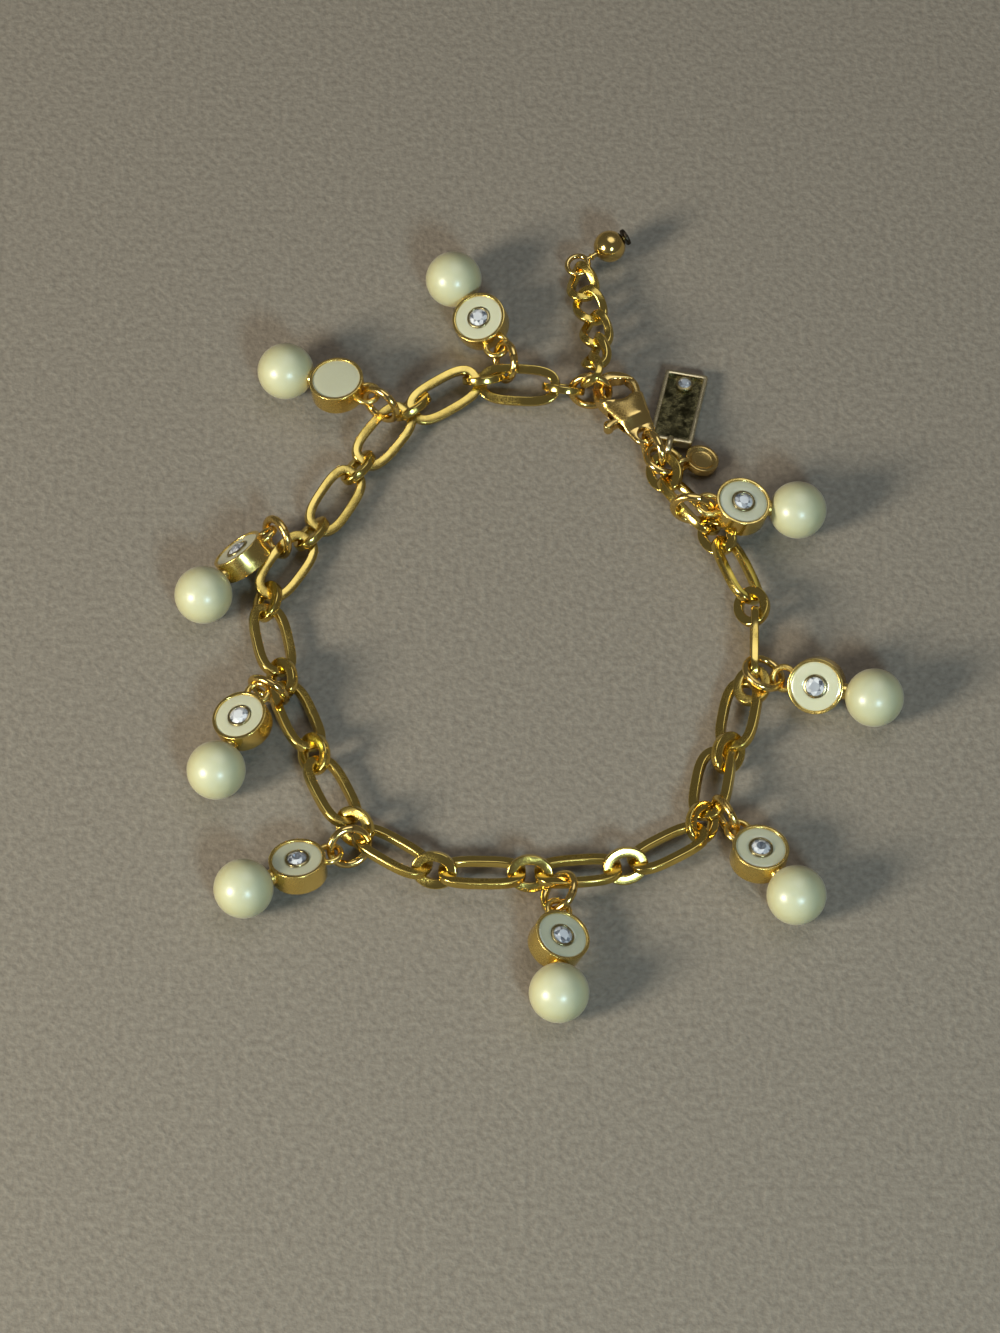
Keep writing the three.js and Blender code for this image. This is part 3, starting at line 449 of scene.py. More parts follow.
def laid_copies(name, tree, frames, **inputs):
    points = bpy.data.meshes.new(f"{name}_points")
    points.from_pydata([tuple(made[:3, 3] * MM) for made in frames], [], [])
    turn = points.attributes.new("turn", "FLOAT_VECTOR", "POINT")
    for index, made in enumerate(frames):
        turn.data[index].vector = Matrix(made[:3, :3].tolist()).to_euler("XYZ")
    made_object = linked_object(name, points)
    modifier = made_object.modifiers.new("copies", "NODES")
    modifier.node_group = tree
    for item in tree.interface.items_tree:
        key = item.name.lower().replace(" ", "_")
        if item.in_out == "INPUT" and key in inputs:
            modifier[item.identifier] = inputs[key]
    bpy.context.view_layer.update()
    made_object.data = evaluated_mesh(made_object, name)
    return made_object


def joined(name, *parts):
    whole = bmesh.new()
    materials = []
    for part in parts:
        before = len(whole.faces)
        whole.from_mesh(part.data)
        whole.faces.ensure_lookup_table()
        places = []
        for material in part.data.materials:
            if material not in materials:
                materials.append(material)
            places.append(materials.index(material))
        for face in whole.faces[before:]:
            face.material_index = places[face.material_index] if places else 0
    mesh = bpy.data.meshes.new(name)
    whole.to_mesh(mesh)
    whole.free()
    for material in materials:
        mesh.materials.append(material)
    for part in parts:
        bpy.data.objects.remove(part)
    return linked_object(name, mesh)


# Turned and bent shapes, in millimetres
def rounded(profile, radius, steps=3):
    """The same profile of [radius, height] points with each inner corner eased by an arc."""
    eased = [profile[0]]
    for before, corner, after in zip(profile, profile[1:], profile[2:]):
        corner = np.array(corner, float)
        back, on = np.array(before) - corner, np.array(after) - corner
        room = min(radius, 0.45 * np.linalg.norm(back), 0.45 * np.linalg.norm(on))
        start, end = corner + unit(back) * room, corner + unit(on) * room
        for step in range(steps + 1):
            share = step / steps
            eased.append(list(
                start * (1 - share) ** 2 + 2 * corner * share * (1 - share) + end * share ** 2
            ))
    return eased + [profile[-1]]


def revolve(shape, profile, sides, placed=None, closed=False):
    """Adds a turned surface round Z to a bmesh; a closed profile makes a ring."""
    placed = placed or Matrix()
    rows = []
    for radius, height in profile:
        if radius < 1e-6:
            rows.append([shape.verts.new(placed @ Vector((0, 0, height)))])
            continue
        rows.append([
            shape.verts.new(placed @ Vector((
                radius * math.cos(math.tau * side / sides),
                radius * math.sin(math.tau * side / sides), height,
            ))) for side in range(sides)
        ])
    pairs = list(zip(rows, rows[1:])) + ([(rows[-1], rows[0])] if closed else [])
    for lower, upper in pairs:
        for side in range(sides):
            after = (side + 1) % sides
            if len(lower) == 1:
                shape.faces.new((lower[0], upper[after], upper[side]))
            elif len(upper) == 1:
                shape.faces.new((lower[side], lower[after], upper[0]))
            else:
                shape.faces.new((lower[side], lower[after], upper[after], upper[side]))


def wire_eye(shape, diameter, wire, sides, placed):
    """Adds a round loop of round wire."""
    middle, around = (diameter - wire) / 2, 14
    revolve(shape, [
        [middle + wire / 2 * math.cos(math.tau * side / around),
         wire / 2 * math.sin(math.tau * side / around)] for side in range(around)
    ], sides, placed, closed=True)


def finished(shape, name, *materials, angle=35):
    """A bmesh in millimetres becomes an object in metres, smooth but for its sharp edges."""
    bmesh.ops.recalc_face_normals(shape, faces=shape.faces)
    bmesh.ops.scale(shape, vec=(MM, MM, MM), verts=shape.verts)
    for face in shape.faces:
        face.smooth = True
    mesh = bpy.data.meshes.new(name)
    shape.to_mesh(mesh)
    shape.free()
    mesh.set_sharp_from_angle(angle=math.radians(angle))
    for material in materials:
        mesh.materials.append(material)
    return linked_object(name, mesh)


def turned_to(x=0, y=0, axis=None, degrees=0):
    placed = Matrix.Translation((x, y, 0))
    return placed @ Matrix.Rotation(math.radians(degrees), 4, axis) if axis else placed


def laid(shape, made):
    bmesh.ops.transform(shape, matrix=Matrix(made.tolist()), verts=shape.verts)


def copied_piece(name, shape, frames, material, angle=35):
    """One small piece, laid out as a copy in each frame."""
    master = finished(shape, f"{name}_master", material, angle=angle)
    copies = laid_copies(name, charm_copies, frames, piece=master, material=material)
    bpy.data.objects.remove(master)
    return copies


# Finishes. The shared effects are node groups that put out masks and heights.
def object_place(tree):
    return add_node(tree, "ShaderNodeTexCoord").outputs["Object"]


def noise(tree, place, scale, detail, roughness=0.5):
    return add_node(tree, "ShaderNodeTexNoise", {
        "Vector": place, "Scale": scale, "Detail": detail, "Roughness": roughness,
    }).outputs[0]


def ranged(tree, value, low, high, to_low=0.0, to_high=1.0):
    return add_node(tree, "ShaderNodeMapRange", {
        "Value": value, "From Min": low, "From Max": high, "To Min": to_low, "To Max": to_high,
    }).outputs[0]


def effect_group(name, inputs, outputs):
    group = bpy.data.node_groups.new(name, "ShaderNodeTree")
    new_sockets(group, "INPUT", [(n, "NodeSocketFloat", d) for n, d in inputs])
    new_sockets(group, "OUTPUT", [(n, "NodeSocketFloat", None) for n in outputs])
    given = group.nodes.new("NodeGroupInput").outputs
    result = group.nodes.new("NodeGroupOutput")
    return group, given, result, object_place(group)


def handling_marks_group():
    """Hair scratches, soft smears and pinprick dents of a piece that is worn and handled."""
    group, given, result, place = effect_group(
        "Handling marks",
        (("Scratch Size", 900.0), ("Smear Size", 260.0), ("Dent Size", 1500.0)),
        ("Scratches", "Smears", "Dents"),
    )
    lines = []
    for turn, stretch in ((0.5, (1.0, 14.0, 2.0)), (2.1, (12.0, 1.0, 3.0))):
        mapped = add_node(group, "ShaderNodeMapping", {
            "Vector": place, "Rotation": (turn, turn * 0.7, turn), "Scale": stretch,
        })
        streaks = noise(group, mapped.outputs[0], given["Scratch Size"], 3.0, 0.65)
        centred = math_node(group, "ABSOLUTE", math_node(group, "SUBTRACT", streaks, 0.5))
        lines.append(ranged(group, centred, 0.0, 0.016, 1.0, 0.0))
    both = math_node(group, "MAXIMUM", lines[0], lines[1])
    patch = noise(group, place, given["Smear Size"], 4.0)
    where = ranged(group, patch, 0.46, 0.62)
    cells = add_node(group, "ShaderNodeTexVoronoi", {"Vector": place, "Scale": given["Dent Size"]})
    dents = ranged(group, cells.outputs["Distance"], 0.0, 0.14, 1.0, 0.0)
    rare = times(group, dents, where)
    scratches = times(group, both, where)
    fill(result, {"Scratches": scratches, "Smears": patch, "Dents": rare})
    return group


def ripple_group():
    """The slow waves that polishing leaves, so that reflections bend a little."""
    group, given, result, place = effect_group("Polish ripple", (("Size", 520.0),), ("Height",))
    fill(result, {"Height": noise(group, place, given["Size"], 1.5, 0.4)})
    return group


def new_material(name):
    material = bpy.data.materials.new(name)
    material.use_nodes = True
    shader = material.node_tree.nodes["Principled BSDF"]
    return material, material.node_tree, shader


def placed_group(tree, group, **values):
    node = tree.nodes.new("ShaderNodeGroup")
    node.node_tree = group
    fill(node, {name.replace("_", " "): value for name, value in values.items()})
    return node.outputs


def blended(tree, share, first, second):
    colours = {0: share, 6: first, 7: second}
    return add_node(tree, "ShaderNodeMix", colours, data_type="RGBA").outputs[2]


def bumped(tree, shader, *heights):
    normal = None
    for height, depth in heights:
        bump = add_node(tree, "ShaderNodeBump", {
            "Height": height, "Distance": depth, "Strength": 1.0,
        })
        if normal is not None:
            fill(bump, {"Normal": normal})
        normal = bump.outputs[0]
    fill(shader, {"Normal": normal})


def gold_finish(name, light, deep, rough, ripple_depth):
    """Polished metal: two tones under the smears, with scratches, dents and a slow ripple."""
    material, tree, shader = new_material(name)
    marks = placed_group(tree, handling_marks)
    ripple = placed_group(tree, polish_ripple)
    worn = blended(tree, ranged(tree, marks["Smears"], 0.35, 0.65), light, deep)
    pits = ranged(tree, marks["Dents"], 0.0, 1.0, 0.0, 0.5)
    spread = ranged(tree, marks["Smears"], 0.35, 0.7, rough, rough + 0.12)
    scratched = times(tree, marks["Scratches"], 0.22)
    fill(shader, {
        "Base Color": blended(tree, pits, worn, (0.20, 0.12, 0.04, 1)),
        "Roughness": math_node(tree, "ADD", spread, scratched), "Metallic": 1.0,
    })
    bumped(tree, shader, (ripple[0], ripple_depth), (marks["Scratches"], -0.000002),
           (marks["Dents"], -0.00001))
    return material


def hammered_wall_finish():
    """The drum's wall: gold with small soft hammer marks."""
    material = gold_finish(
        "drum_gold", (0.94, 0.72, 0.24, 1), (0.80, 0.57, 0.16, 1), 0.18, 0.00004)
    tree = material.node_tree
    shader = tree.nodes["Principled BSDF"]
    marks = add_node(tree, "ShaderNodeTexVoronoi", {
        "Vector": object_place(tree), "Scale": 1300.0,
    }, feature="SMOOTH_F1")
    bump = add_node(tree, "ShaderNodeBump", {
        "Height": marks.outputs["Distance"], "Distance": 0.00003, "Strength": 0.8,
        "Normal": shader.inputs["Normal"].links[0].from_socket,
    })
    fill(shader, {"Normal": bump.outputs[0]})
    return material


def enamel_finish():
    """Poured cream enamel: glassy, faintly orange-peeled, with specks and hair scratches."""
    material, tree, shader = new_material("cream_enamel")
    marks = placed_group(
        tree, handling_marks, Scratch_Size=600.0, Smear_Size=150.0, Dent_Size=800.0)
    peel = noise(tree, object_place(tree), 700.0, 2.0)
    cream = blended(tree, ranged(tree, marks["Smears"], 0.35, 0.65),
                    (0.61, 0.60, 0.41, 1), (0.56, 0.55, 0.38, 1))
    specks = blended(tree, ranged(tree, marks["Dents"], 0.3, 1.0, 0.0, 0.7), cream,
                     (0.30, 0.24, 0.14, 1))
    dulled = times(tree, marks["Scratches"], 0.25)
    base = ranged(tree, peel, 0.3, 0.7, 0.13, 0.20)
    fill(shader, {
        "Base Color": specks, "Roughness": math_node(tree, "ADD", base, dulled),
        "Coat Weight": 0.6, "Coat Roughness": 0.06,
        "Subsurface Weight": 0.15, "Subsurface Radius": (0.0006, 0.0005, 0.0003),
    })
    bumped(tree, shader, (peel, 0.00001), (marks["Scratches"], -0.000004))
    return material


def pearl_finish():
    """Satin nacre: cream with a painted sheen, greener face on, and painted shade, browner at its
    edge, with rare pits and a coat.
    """
    material, tree, shader = new_material("cream_nacre")
    place = object_place(tree)
    cloud = noise(tree, place, 190.0, 3.0)
    grain = noise(tree, place, 2600.0, 2.0)
    facing = add_node(tree, "ShaderNodeLayerWeight", {"Blend": 0.45}).outputs["Facing"]
    cream = blended(tree, ranged(tree, cloud, 0.35, 0.65),
                    (0.59, 0.56, 0.31, 1), (0.53, 0.51, 0.28, 1))
    # Painted shade: the colour turns browner towards the pearl's outline as seen from the view
    edge = blended(tree, ranged(tree, facing, 0.25, 0.95, 0.0, 0.75), cream,
                   (0.43, 0.38, 0.20, 1))
    # Painted sheen: the colour turns lighter and greener where the pearl faces the view
    painted_sheen = blended(tree, ranged(tree, facing, 0.0, 0.4, 0.22, 0.0), edge,
                    (0.74, 0.84, 0.78, 1))
    cells = add_node(tree, "ShaderNodeTexVoronoi", {"Vector": place, "Scale": 520.0})
    pit = ranged(tree, cells.outputs["Distance"], 0.0, 0.07, 1.0, 0.0)
    rare = times(tree, pit, ranged(tree, cloud, 0.56, 0.6))
    pitted = blended(tree, times(tree, rare, 0.5), painted_sheen, (0.4, 0.33, 0.2, 1))
    fill(shader, {
        "Base Color": pitted, "Roughness": ranged(tree, grain, 0.3, 0.7, 0.34, 0.42),
        "Coat Weight": 0.5, "Coat Roughness": 0.28, "Sheen Weight": 0.12, "Sheen Roughness": 0.5,
        "Subsurface Weight": 0.4, "Subsurface Radius": (0.0030, 0.0026, 0.0018),
    })
    bumped(tree, shader, (grain, 0.000006), (rare, -0.00005))
    return material


def stone_finishes():
    """Clear cut glass over a silvered back, its facets painted light or dark at random as painted
    glints and painted shade.
    """
    clear, tree, shader = new_material("clear_stone")
    marks = placed_group(tree, handling_marks, Scratch_Size=1400.0)
    # Painted glints: faces with a high painted tone are whiter and less clear, faces with a low
    # one darker
    tone = add_node(tree, "ShaderNodeAttribute", attribute_name="facet").outputs["Fac"]
    fill(shader, {
        "Base Color": blended(tree, tone, (0.36, 0.40, 0.48, 1), (0.98, 0.99, 1.0, 1)),
        "Transmission Weight": ranged(tree, tone, 0.0, 1.0, 0.9, 0.25), "IOR": 1.6,
        "Roughness": ranged(tree, marks["Scratches"], 0, 1, 0.01, 0.08),
    })
    silvered, tree, shader = new_material("silvered_back")
    flecks = noise(tree, object_place(tree), 1800.0, 2.0)
    # Painted reflection: the silvered back runs from near black to white by the same painted tone
    tone = add_node(tree, "ShaderNodeAttribute", attribute_name="facet").outputs["Fac"]
    fill(shader, {
        "Base Color": blended(tree, tone, (0.10, 0.12, 0.17, 1), (1.0, 1.0, 1.0, 1)),
        "Roughness": ranged(tree, flecks, 0.3, 0.7, 0.08, 0.16), "Metallic": 0.25,
    })
    return clear, silvered


def tray_floor_finish():
    """The tag's floor: a mirror painted dark olive, with a mottle that is a painted reflection."""
    material, tree, shader = new_material("dark_mirror")
    marks = placed_group(tree, handling_marks, Smear_Size=420.0)
    # Painted reflection: a mottle of dark and olive stands in for what the mirror reflects
    painted_mottle = noise(tree, object_place(tree), 900.0, 6.0, 0.7)
    mask = ranged(tree, painted_mottle, 0.42, 0.62)
    fill(shader, {
        "Base Color": blended(tree, mask, (0.07, 0.065, 0.03, 1), (0.28, 0.25, 0.12, 1)),
        "Roughness": ranged(tree, mask, 0.0, 1.0, 0.12, 0.34), "Metallic": 1.0,
    })
    bumped(tree, shader, (painted_mottle, 0.00003), (marks["Scratches"], -0.000006))
    return material


handling_marks = handling_marks_group()
polish_ripple = ripple_group()
link_gold, ring_gold, cast_gold, pale_gold, bezel_gold, dark_metal = (
    gold_finish(*row) for row in (
        ("link_gold", (0.80, 0.61, 0.18, 1), (0.67, 0.49, 0.12, 1), 0.10, 0.00001),
        ("ring_gold", (0.88, 0.66, 0.24, 1), (0.76, 0.53, 0.16, 1), 0.09, 0.00006),
        ("cast_gold", (0.86, 0.64, 0.24, 1), (0.72, 0.50, 0.16, 1), 0.13, 0.00006),
        ("pale_gold", (0.80, 0.70, 0.44, 1), (0.68, 0.58, 0.34, 1), 0.2, 0.00006),
        ("bezel_gold", (0.50, 0.42, 0.22, 1), (0.36, 0.30, 0.15, 1), 0.2, 0.00003),
        # Gold painted nearly black: a painted dark reflection on the pin's head
        ("dark_metal", (0.10, 0.08, 0.05, 1), (0.05, 0.04, 0.03, 1), 0.3, 0.00004),
    )
)
drum_gold = hammered_wall_finish()
cream_enamel = enamel_finish()
cream_nacre = pearl_finish()
clear_stone, silvered_back = stone_finishes()
dark_mirror = tray_floor_finish()
wire_loops = wire_loop_tree()
charm_copies = copy_tree()


def dress(piece, nodes, body="bracelet"):
    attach(piece, body)
    if nodes:
        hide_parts(*nodes)


# Chain, rings and extender, all bent from wire
def bent_wire(name, frames, length, width, wide, high, edge, material, **more):
    """Loops of wire in the frames, all sizes in millimetres."""
    sizes = {
        "length": length, "width": width, "wire_wide": wide, "wire_high": high,
        "edge_radius": edge,
    }
    return laid_copies(name, wire_loops, frames, material=material, **more,
                       **{key: size * MM for key, size in sizes.items()})


def make_link_chain():
    sides = []
    for kind, length, width, square in (
        ("long", LONG_LENGTH, LONG_WIDTH, LONG_SQUARENESS),
        ("short", SHORT_LENGTH, SHORT_WIDTH, SHORT_SQUARENESS),
    ):
        frames = [made for name, made in chain.items() if name.startswith(kind)]
        sides.append(bent_wire(
            f"{kind}_links", frames, length, width, LINK_WIDE, LINK_HIGH, LINK_EDGE, link_gold,
            squareness=square,
        ))
    links = joined("link_chain_wire", *sides)
    links.modifiers.new("flat_bands", "WEIGHTED_NORMAL")
    links.data = evaluated_mesh(links, "link_chain_wire")
    dress(links, ["link_chain"])


def make_jump_rings():
    """Round rings with a fine split, of slightly thicker wire than the solids'."""
    nodes = charm_nodes("jump_ring") + ["end_ring", "clasp_jump_ring", "tag_ring"]
    outside, wire = RING_DIAMETER + RING_THICKER, RING_WIRE + RING_THICKER
    rings = bent_wire(
        "jump_rings", [node_ring_frame(name) for name in nodes], outside, outside, wire, wire,
        wire * NEARLY_ROUND, ring_gold, split=True, split_share=RING_SPLIT_SHARE,
    )
    for vertex in rings.data.vertices:  # thicker wire keeps inside the solids' box
        vertex.co.z = min(max(vertex.co.z, solid_box[0][2]), solid_box[1][2])
    dress(rings, nodes)


def make_extender():
    """Twisted links, of wire slightly wider than the solids', then a headed pin and its ball."""
    start = on_ring(chain["end_ring"], RING_MIDDLE, EXTENDER_START)
    clear = CURB_LENGTH - 2 * CURB_WIRE
    way = direction(*CURB_LINKS[0][:2])
    contact = start - way * (RING_WIRE / 2 + HANGING_GAP)
    frames = []
    for heading, rise, roll in CURB_LINKS:
        way = direction(heading, rise)
        frames.append(rolled_frame(contact + way * clear / 2, way, roll))
        contact = contact + way * (clear + LINK_BITE)
    links = bent_wire(
        "extender_links", frames, CURB_LENGTH, CURB_WIDTH, CURB_WIRE + CURB_FLATTENED, CURB_WIRE,
        CURB_EDGE, link_gold, twist=CURB_TWIST * MM, steps=56,
    )
    dress(links, ["extender_chain"])

    contact = contact - way * (LINK_BITE + HANGING_GAP + EYE_WIRE / 2)
    eye_radius = (EYE_DIAMETER - EYE_WIRE) / 2
    pin = rolled_frame(contact + way * eye_radius, direction(PIN_HEADING, PIN_RISE), EYE_ROLL)
    ball_at = EYE_DIAMETER / 2 + PIN_NECK + BALL_DIAMETER / 2
    head_at = ball_at + BALL_DIAMETER / 2 + FITTED_GAP
    placed = Matrix(pin.tolist())
    upright = turned_to(axis="Y", degrees=90)
    shape = bmesh.new()
    wire_eye(shape, EYE_DIAMETER, EYE_WIRE, sides=40, placed=placed)
    half, sunk = PIN_DIAMETER / 2, 0.1
    wrap = half + 0.12
    foot = [[0, sunk], [half, sunk], [half, 0.5], [wrap, 0.55], [wrap, 0.7], [half, 0.75]]
    revolve(shape, [[radius, eye_radius + height] for radius, height in foot]
            + [[half, head_at + sunk], [0, head_at + sunk]],
            sides=20, placed=placed @ upright)
    wire = finished(shape, "pin_wire", ring_gold)
    shape = bmesh.new()
    head, head_top, soft = PIN_HEAD_DIAMETER / 2, head_at + PIN_HEAD_THICK, 0.08
    revolve(shape, rounded([[0, head_at], [head, head_at], [head, head_top], [0, head_top]], soft),
            sides=28, placed=placed @ upright)
    # The pin's head is gold painted dark, a painted dark reflection
    dress(joined("headed_pin", wire, finished(shape, "pin_head", dark_metal)), ["end_pin"])

    shape = bmesh.new()
    radius = BALL_DIAMETER / 2 - FINE_GAP
    mouth = math.asin((PIN_DIAMETER / 2 + FITTED_GAP) / radius)
    profile = [
        [radius * math.sin(angle), radius * math.cos(angle)]
        for angle in np.linspace(math.pi - mouth, mouth, 30)
    ]
    revolve(shape, profile, sides=48, placed=placed @ turned_to(x=ball_at) @ upright, closed=True)
    dress(finished(shape, "polished_ball", ring_gold, angle=60), ["end_ball"])


# Charms
def make_drums():
    loop_centre = DRUM_DIAMETER / 2 + LOOP_REACH - LOOP_WIDTH / 2
    wall, bore, half = DRUM_DIAMETER / 2, DRUM_DIAMETER / 2 - DRUM_RIM, DRUM_THICK / 2
    shape = bmesh.new()
    soft, collar_soft, sunk = 0.09, 0.05, 0.1
    ring = [[bore, 0], [bore, -half], [wall, -half], [wall, half], [bore, half], [bore, FINE_GAP]]
    revolve(shape, rounded(ring, soft)[:-1], sides=72, closed=True)
    wire_eye(shape, LOOP_WIDTH, LOOP_WIRE, sides=40, placed=turned_to(y=loop_centre))
    peg = PEG_DIAMETER / 2
    collar, peg = peg + 0.28, peg - 2 * FINE_GAP
    foot, cup = wall - DRUM_RIM / 2, wall + PEARL_GAP
    revolve(shape, rounded([
        [0, foot], [collar, foot], [collar, cup + sunk], [peg, cup + sunk],
        [peg, cup + PEG_DEPTH], [0, cup + PEG_DEPTH],
    ], collar_soft), sides=24, placed=turned_to(axis="X", degrees=90))
    drums = copied_piece("drums", shape, charm_frames, drum_gold)
    dress(drums, charm_nodes("drum"))


def make_enamels():
    face = DRUM_THICK / 2 - ENAMEL_RECESS
    wall = DRUM_DIAMETER / 2 - DRUM_RIM - FINE_GAP
    seat = BEZEL_DIAMETER / 2 + FINE_GAP
    floor = face - BEZEL_SEAT
    shares = np.linspace(0, 1, 14)
    back = [[wall * share, -face - ENAMEL_DOME * (1 - share ** 6)] for share in shares]
    front = [
        [wall + (seat - wall) * share, face + ENAMEL_DOME * (1 - (2 * share - 1) ** 6)]
        for share in shares
    ]
    shape = bmesh.new()
    revolve(shape, back + front + [[seat, floor], [0, floor]], sides=64)
    enamels = copied_piece("enamels", shape, charm_frames, cream_enamel)
    dress(enamels, charm_nodes("enamel"))


def cut_stone(shape, radius, girdle, table, depth):
    """A round brilliant: table, stars, kites and girdle facets over a plain pointed back."""
    table_reach, star_reach, star_rise, back_fall = 0.52, 0.76, 0.62, 0.55

    def ring(count, reach, height, start):
        return [
            shape.verts.new((
                radius * reach * math.cos(math.tau * (start + index / count)),
                radius * reach * math.sin(math.tau * (start + index / count)), height,
            )) for index in range(count)
        ]

    top = ring(8, table_reach, table, 0)
    star = ring(8, star_reach, girdle + (table - girdle) * star_rise, 1 / 16)
    rim = ring(16, 1.0, girdle, 0)
    middle = ring(8, table_reach, girdle - depth * back_fall, 1 / 16)
    culet = shape.verts.new((0, 0, girdle - depth))
    shape.faces.new(top)
    for k in range(8):
        after = (k + 1) % 8
        shape.faces.new((top[k], top[after], star[k]))
        shape.faces.new((top[k], star[k], rim[2 * k], star[k - 1]))
        shape.faces.new((star[k], rim[2 * k + 1], rim[2 * k]))
        shape.faces.new((star[k], rim[(2 * k + 2) % 16], rim[2 * k + 1]))
        below = (
            shape.faces.new((rim[2 * k], rim[2 * k + 1], middle[k])),
            shape.faces.new((rim[2 * k + 1], rim[(2 * k + 2) % 16], middle[k])),
            shape.faces.new((rim[2 * k], middle[k], culet, middle[k - 1])),
        )
        for face in below:
            face.material_index = 1


def bezel(shape, diameter, bottom, lip):
    """A cup whose bevelled lip leans in over the stone."""
    outside = diameter / 2
    inside = outside - BEZEL_WALL
    revolve(shape, rounded([
        [0, bottom], [outside, bottom], [outside, lip - 0.02], [inside + 0.03, lip + 0.06],
        [inside - 0.04, lip - 0.08], [inside - 0.04, bottom + 0.06], [0, bottom + 0.05],
    ], 0.05), sides=48)


def make_stones():
    face = DRUM_THICK / 2 - ENAMEL_RECESS
    top = DRUM_THICK / 2 + STONE_STANDS - ENAMEL_RECESS
    tag_stone_frame = tag_frame.copy()
    tag_stone_frame[:3, 3] = within(
        tag_frame, 0, TAG_LENGTH / 2 - TAG_RIM - TAG_STONE / 2 - FITTED_GAP, 0)
    under_lip, over_floor = 0.06, 0.1
    pieces, cups = [], []
    for name, frames, diameter, seat, high in (
        ("charm", charm_frames, BEZEL_DIAMETER, face - BEZEL_SEAT, top),
        ("tag", [tag_stone_frame], TAG_STONE, TAG_THICK / 2 - TAG_DEPTH,
         TAG_THICK / 2 + STONE_STANDS / 2),
    ):
        low, lip = seat + 2 * FINE_GAP, high - STONE_STANDS * STONE_SHOWS
        girdle = lip - under_lip
        shape = bmesh.new()
        cut_stone(shape, diameter / 2 - BEZEL_WALL - FINE_GAP, girdle, high - FINE_GAP,
                  girdle - low - over_floor)
        master = finished(shape, f"{name}_stone_master", clear_stone, silvered_back, angle=1)
        for polygon in master.data.polygons:
            polygon.use_smooth = False
        pieces.append(kept_slots(f"{name}_stones", master, frames))
        shape = bmesh.new()
        bezel(shape, diameter - 2 * FINE_GAP, low, lip)
        cups.append(copied_piece(f"{name}_bezels", shape, frames, bezel_gold))
    stones = joined("cut_stones", *pieces)
    # Each face of the stones gets a random painted tone, a painted glint or painted shade
    painted_tones = stones.data.attributes.new("facet", "FLOAT", "FACE")
    draws = np.random.default_rng(PAINTED_TONE_SEED).beta(*PAINTED_TONE_SPREAD, len(painted_tones.data))
    painted_tones.data.foreach_set("value", draws)
    dress(stones, charm_nodes("crystal") + ["tag_crystal"])
    dress(joined("stone_bezels", *cups), [])


def kept_slots(name, master, frames):
    """Copies of a piece of two materials that keep its own slots."""
    shape = bmesh.new()
    for made in frames:
        made = made.copy()
        made[:3, 3] *= MM
        start = len(shape.verts)
        shape.from_mesh(master.data)
        shape.verts.ensure_lookup_table()
        bmesh.ops.transform(shape, matrix=Matrix(made.tolist()), verts=shape.verts[start:])
    mesh = bpy.data.meshes.new(name)
    shape.to_mesh(mesh)
    shape.free()
    for material in master.data.materials:
        mesh.materials.append(material)
    bpy.data.objects.remove(master)
    return linked_object(name, mesh)


def make_pearls():
    radius = PEARL_DIAMETER / 2 - 2 * FINE_GAP
    drop = DRUM_DIAMETER / 2 + PEARL_GAP + PEARL_DIAMETER / 2
    hole = PEG_DIAMETER / 2 + 0.04
    bore, lip = hole - 0.03, 0.12
    mouth = math.asin(hole / radius)
    profile = [
        [radius * math.sin(angle), radius * math.cos(angle)]
        for angle in np.linspace(math.pi, mouth, 40)
    ]
    profile[0][0] = 0
    profile += [[bore, radius - lip], [bore, radius - PEG_DEPTH], [0, radius - PEG_DEPTH]]
    shape = bmesh.new()
    revolve(shape, profile, sides=64, placed=turned_to(y=-drop, axis="X", degrees=-90))
    pearls = copied_piece("pearls", shape, charm_frames, cream_nacre, angle=50)
    dress(pearls, charm_nodes("pearl"))


# Castings: the clasp's solids with their edges worn soft
def pillowed(mesh, thinned):
    """Rounds a flat casting: it grows thinner from its middle line to its long edges."""
    points = mesh_points(mesh)
    centre = points.mean(axis=0)
    along, across, through = np.linalg.svd(points - centre, full_matrices=False)[2]
    place = (points - centre) @ along
    off = (points - centre) @ across
    high = (points - centre) @ through
    stations = np.linspace(place.min(), place.max(), CASTING_STATIONS)
    nearest = np.clip(np.digitize(place, stations), 1, len(stations) - 1)
    rows = [off[nearest == row] for row in range(1, len(stations))]
    middles = (stations[1:] + stations[:-1]) / 2
    low = np.interp(place, middles, [row.min() for row in rows])
    top = np.interp(place, middles, [row.max() for row in rows])
    share = np.clip(np.abs(2 * off - top - low) / (top - low), 0, 1)
    points -= np.outer(high * thinned * share ** 2.5, through)
    mesh.vertices.foreach_set("co", points.ravel())


def make_casting(name, node, body, thinned):
    shape = bmesh.new()
    shape.from_mesh(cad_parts[node].data)
    bmesh.ops.remove_doubles(shape, verts=shape.verts, dist=1e-7)
    bmesh.ops.scale(shape, vec=(1 / MM,) * 3, verts=shape.verts)
    mesh = bpy.data.meshes.new(f"{name}_rough")
    shape.to_mesh(mesh)
    shape.free()
    casting = linked_object(name, mesh)
    remesh = casting.modifiers.new("grain", "REMESH")
    remesh.mode = "VOXEL"
    remesh.voxel_size = CASTING_GRAIN
    smooth = casting.modifiers.new("worn", "SMOOTH")
    smooth.factor = 0.5
    smooth.iterations = CASTING_PASSES
    casting.data = evaluated_mesh(casting, name)
    pillowed(casting.data, thinned)
    casting.data.transform(Matrix.Scale(MM, 4))
    casting.data.materials.clear()
    casting.data.materials.append(cast_gold)
    for polygon in casting.data.polygons:
        polygon.use_smooth = True
    dress(casting, [node], body)


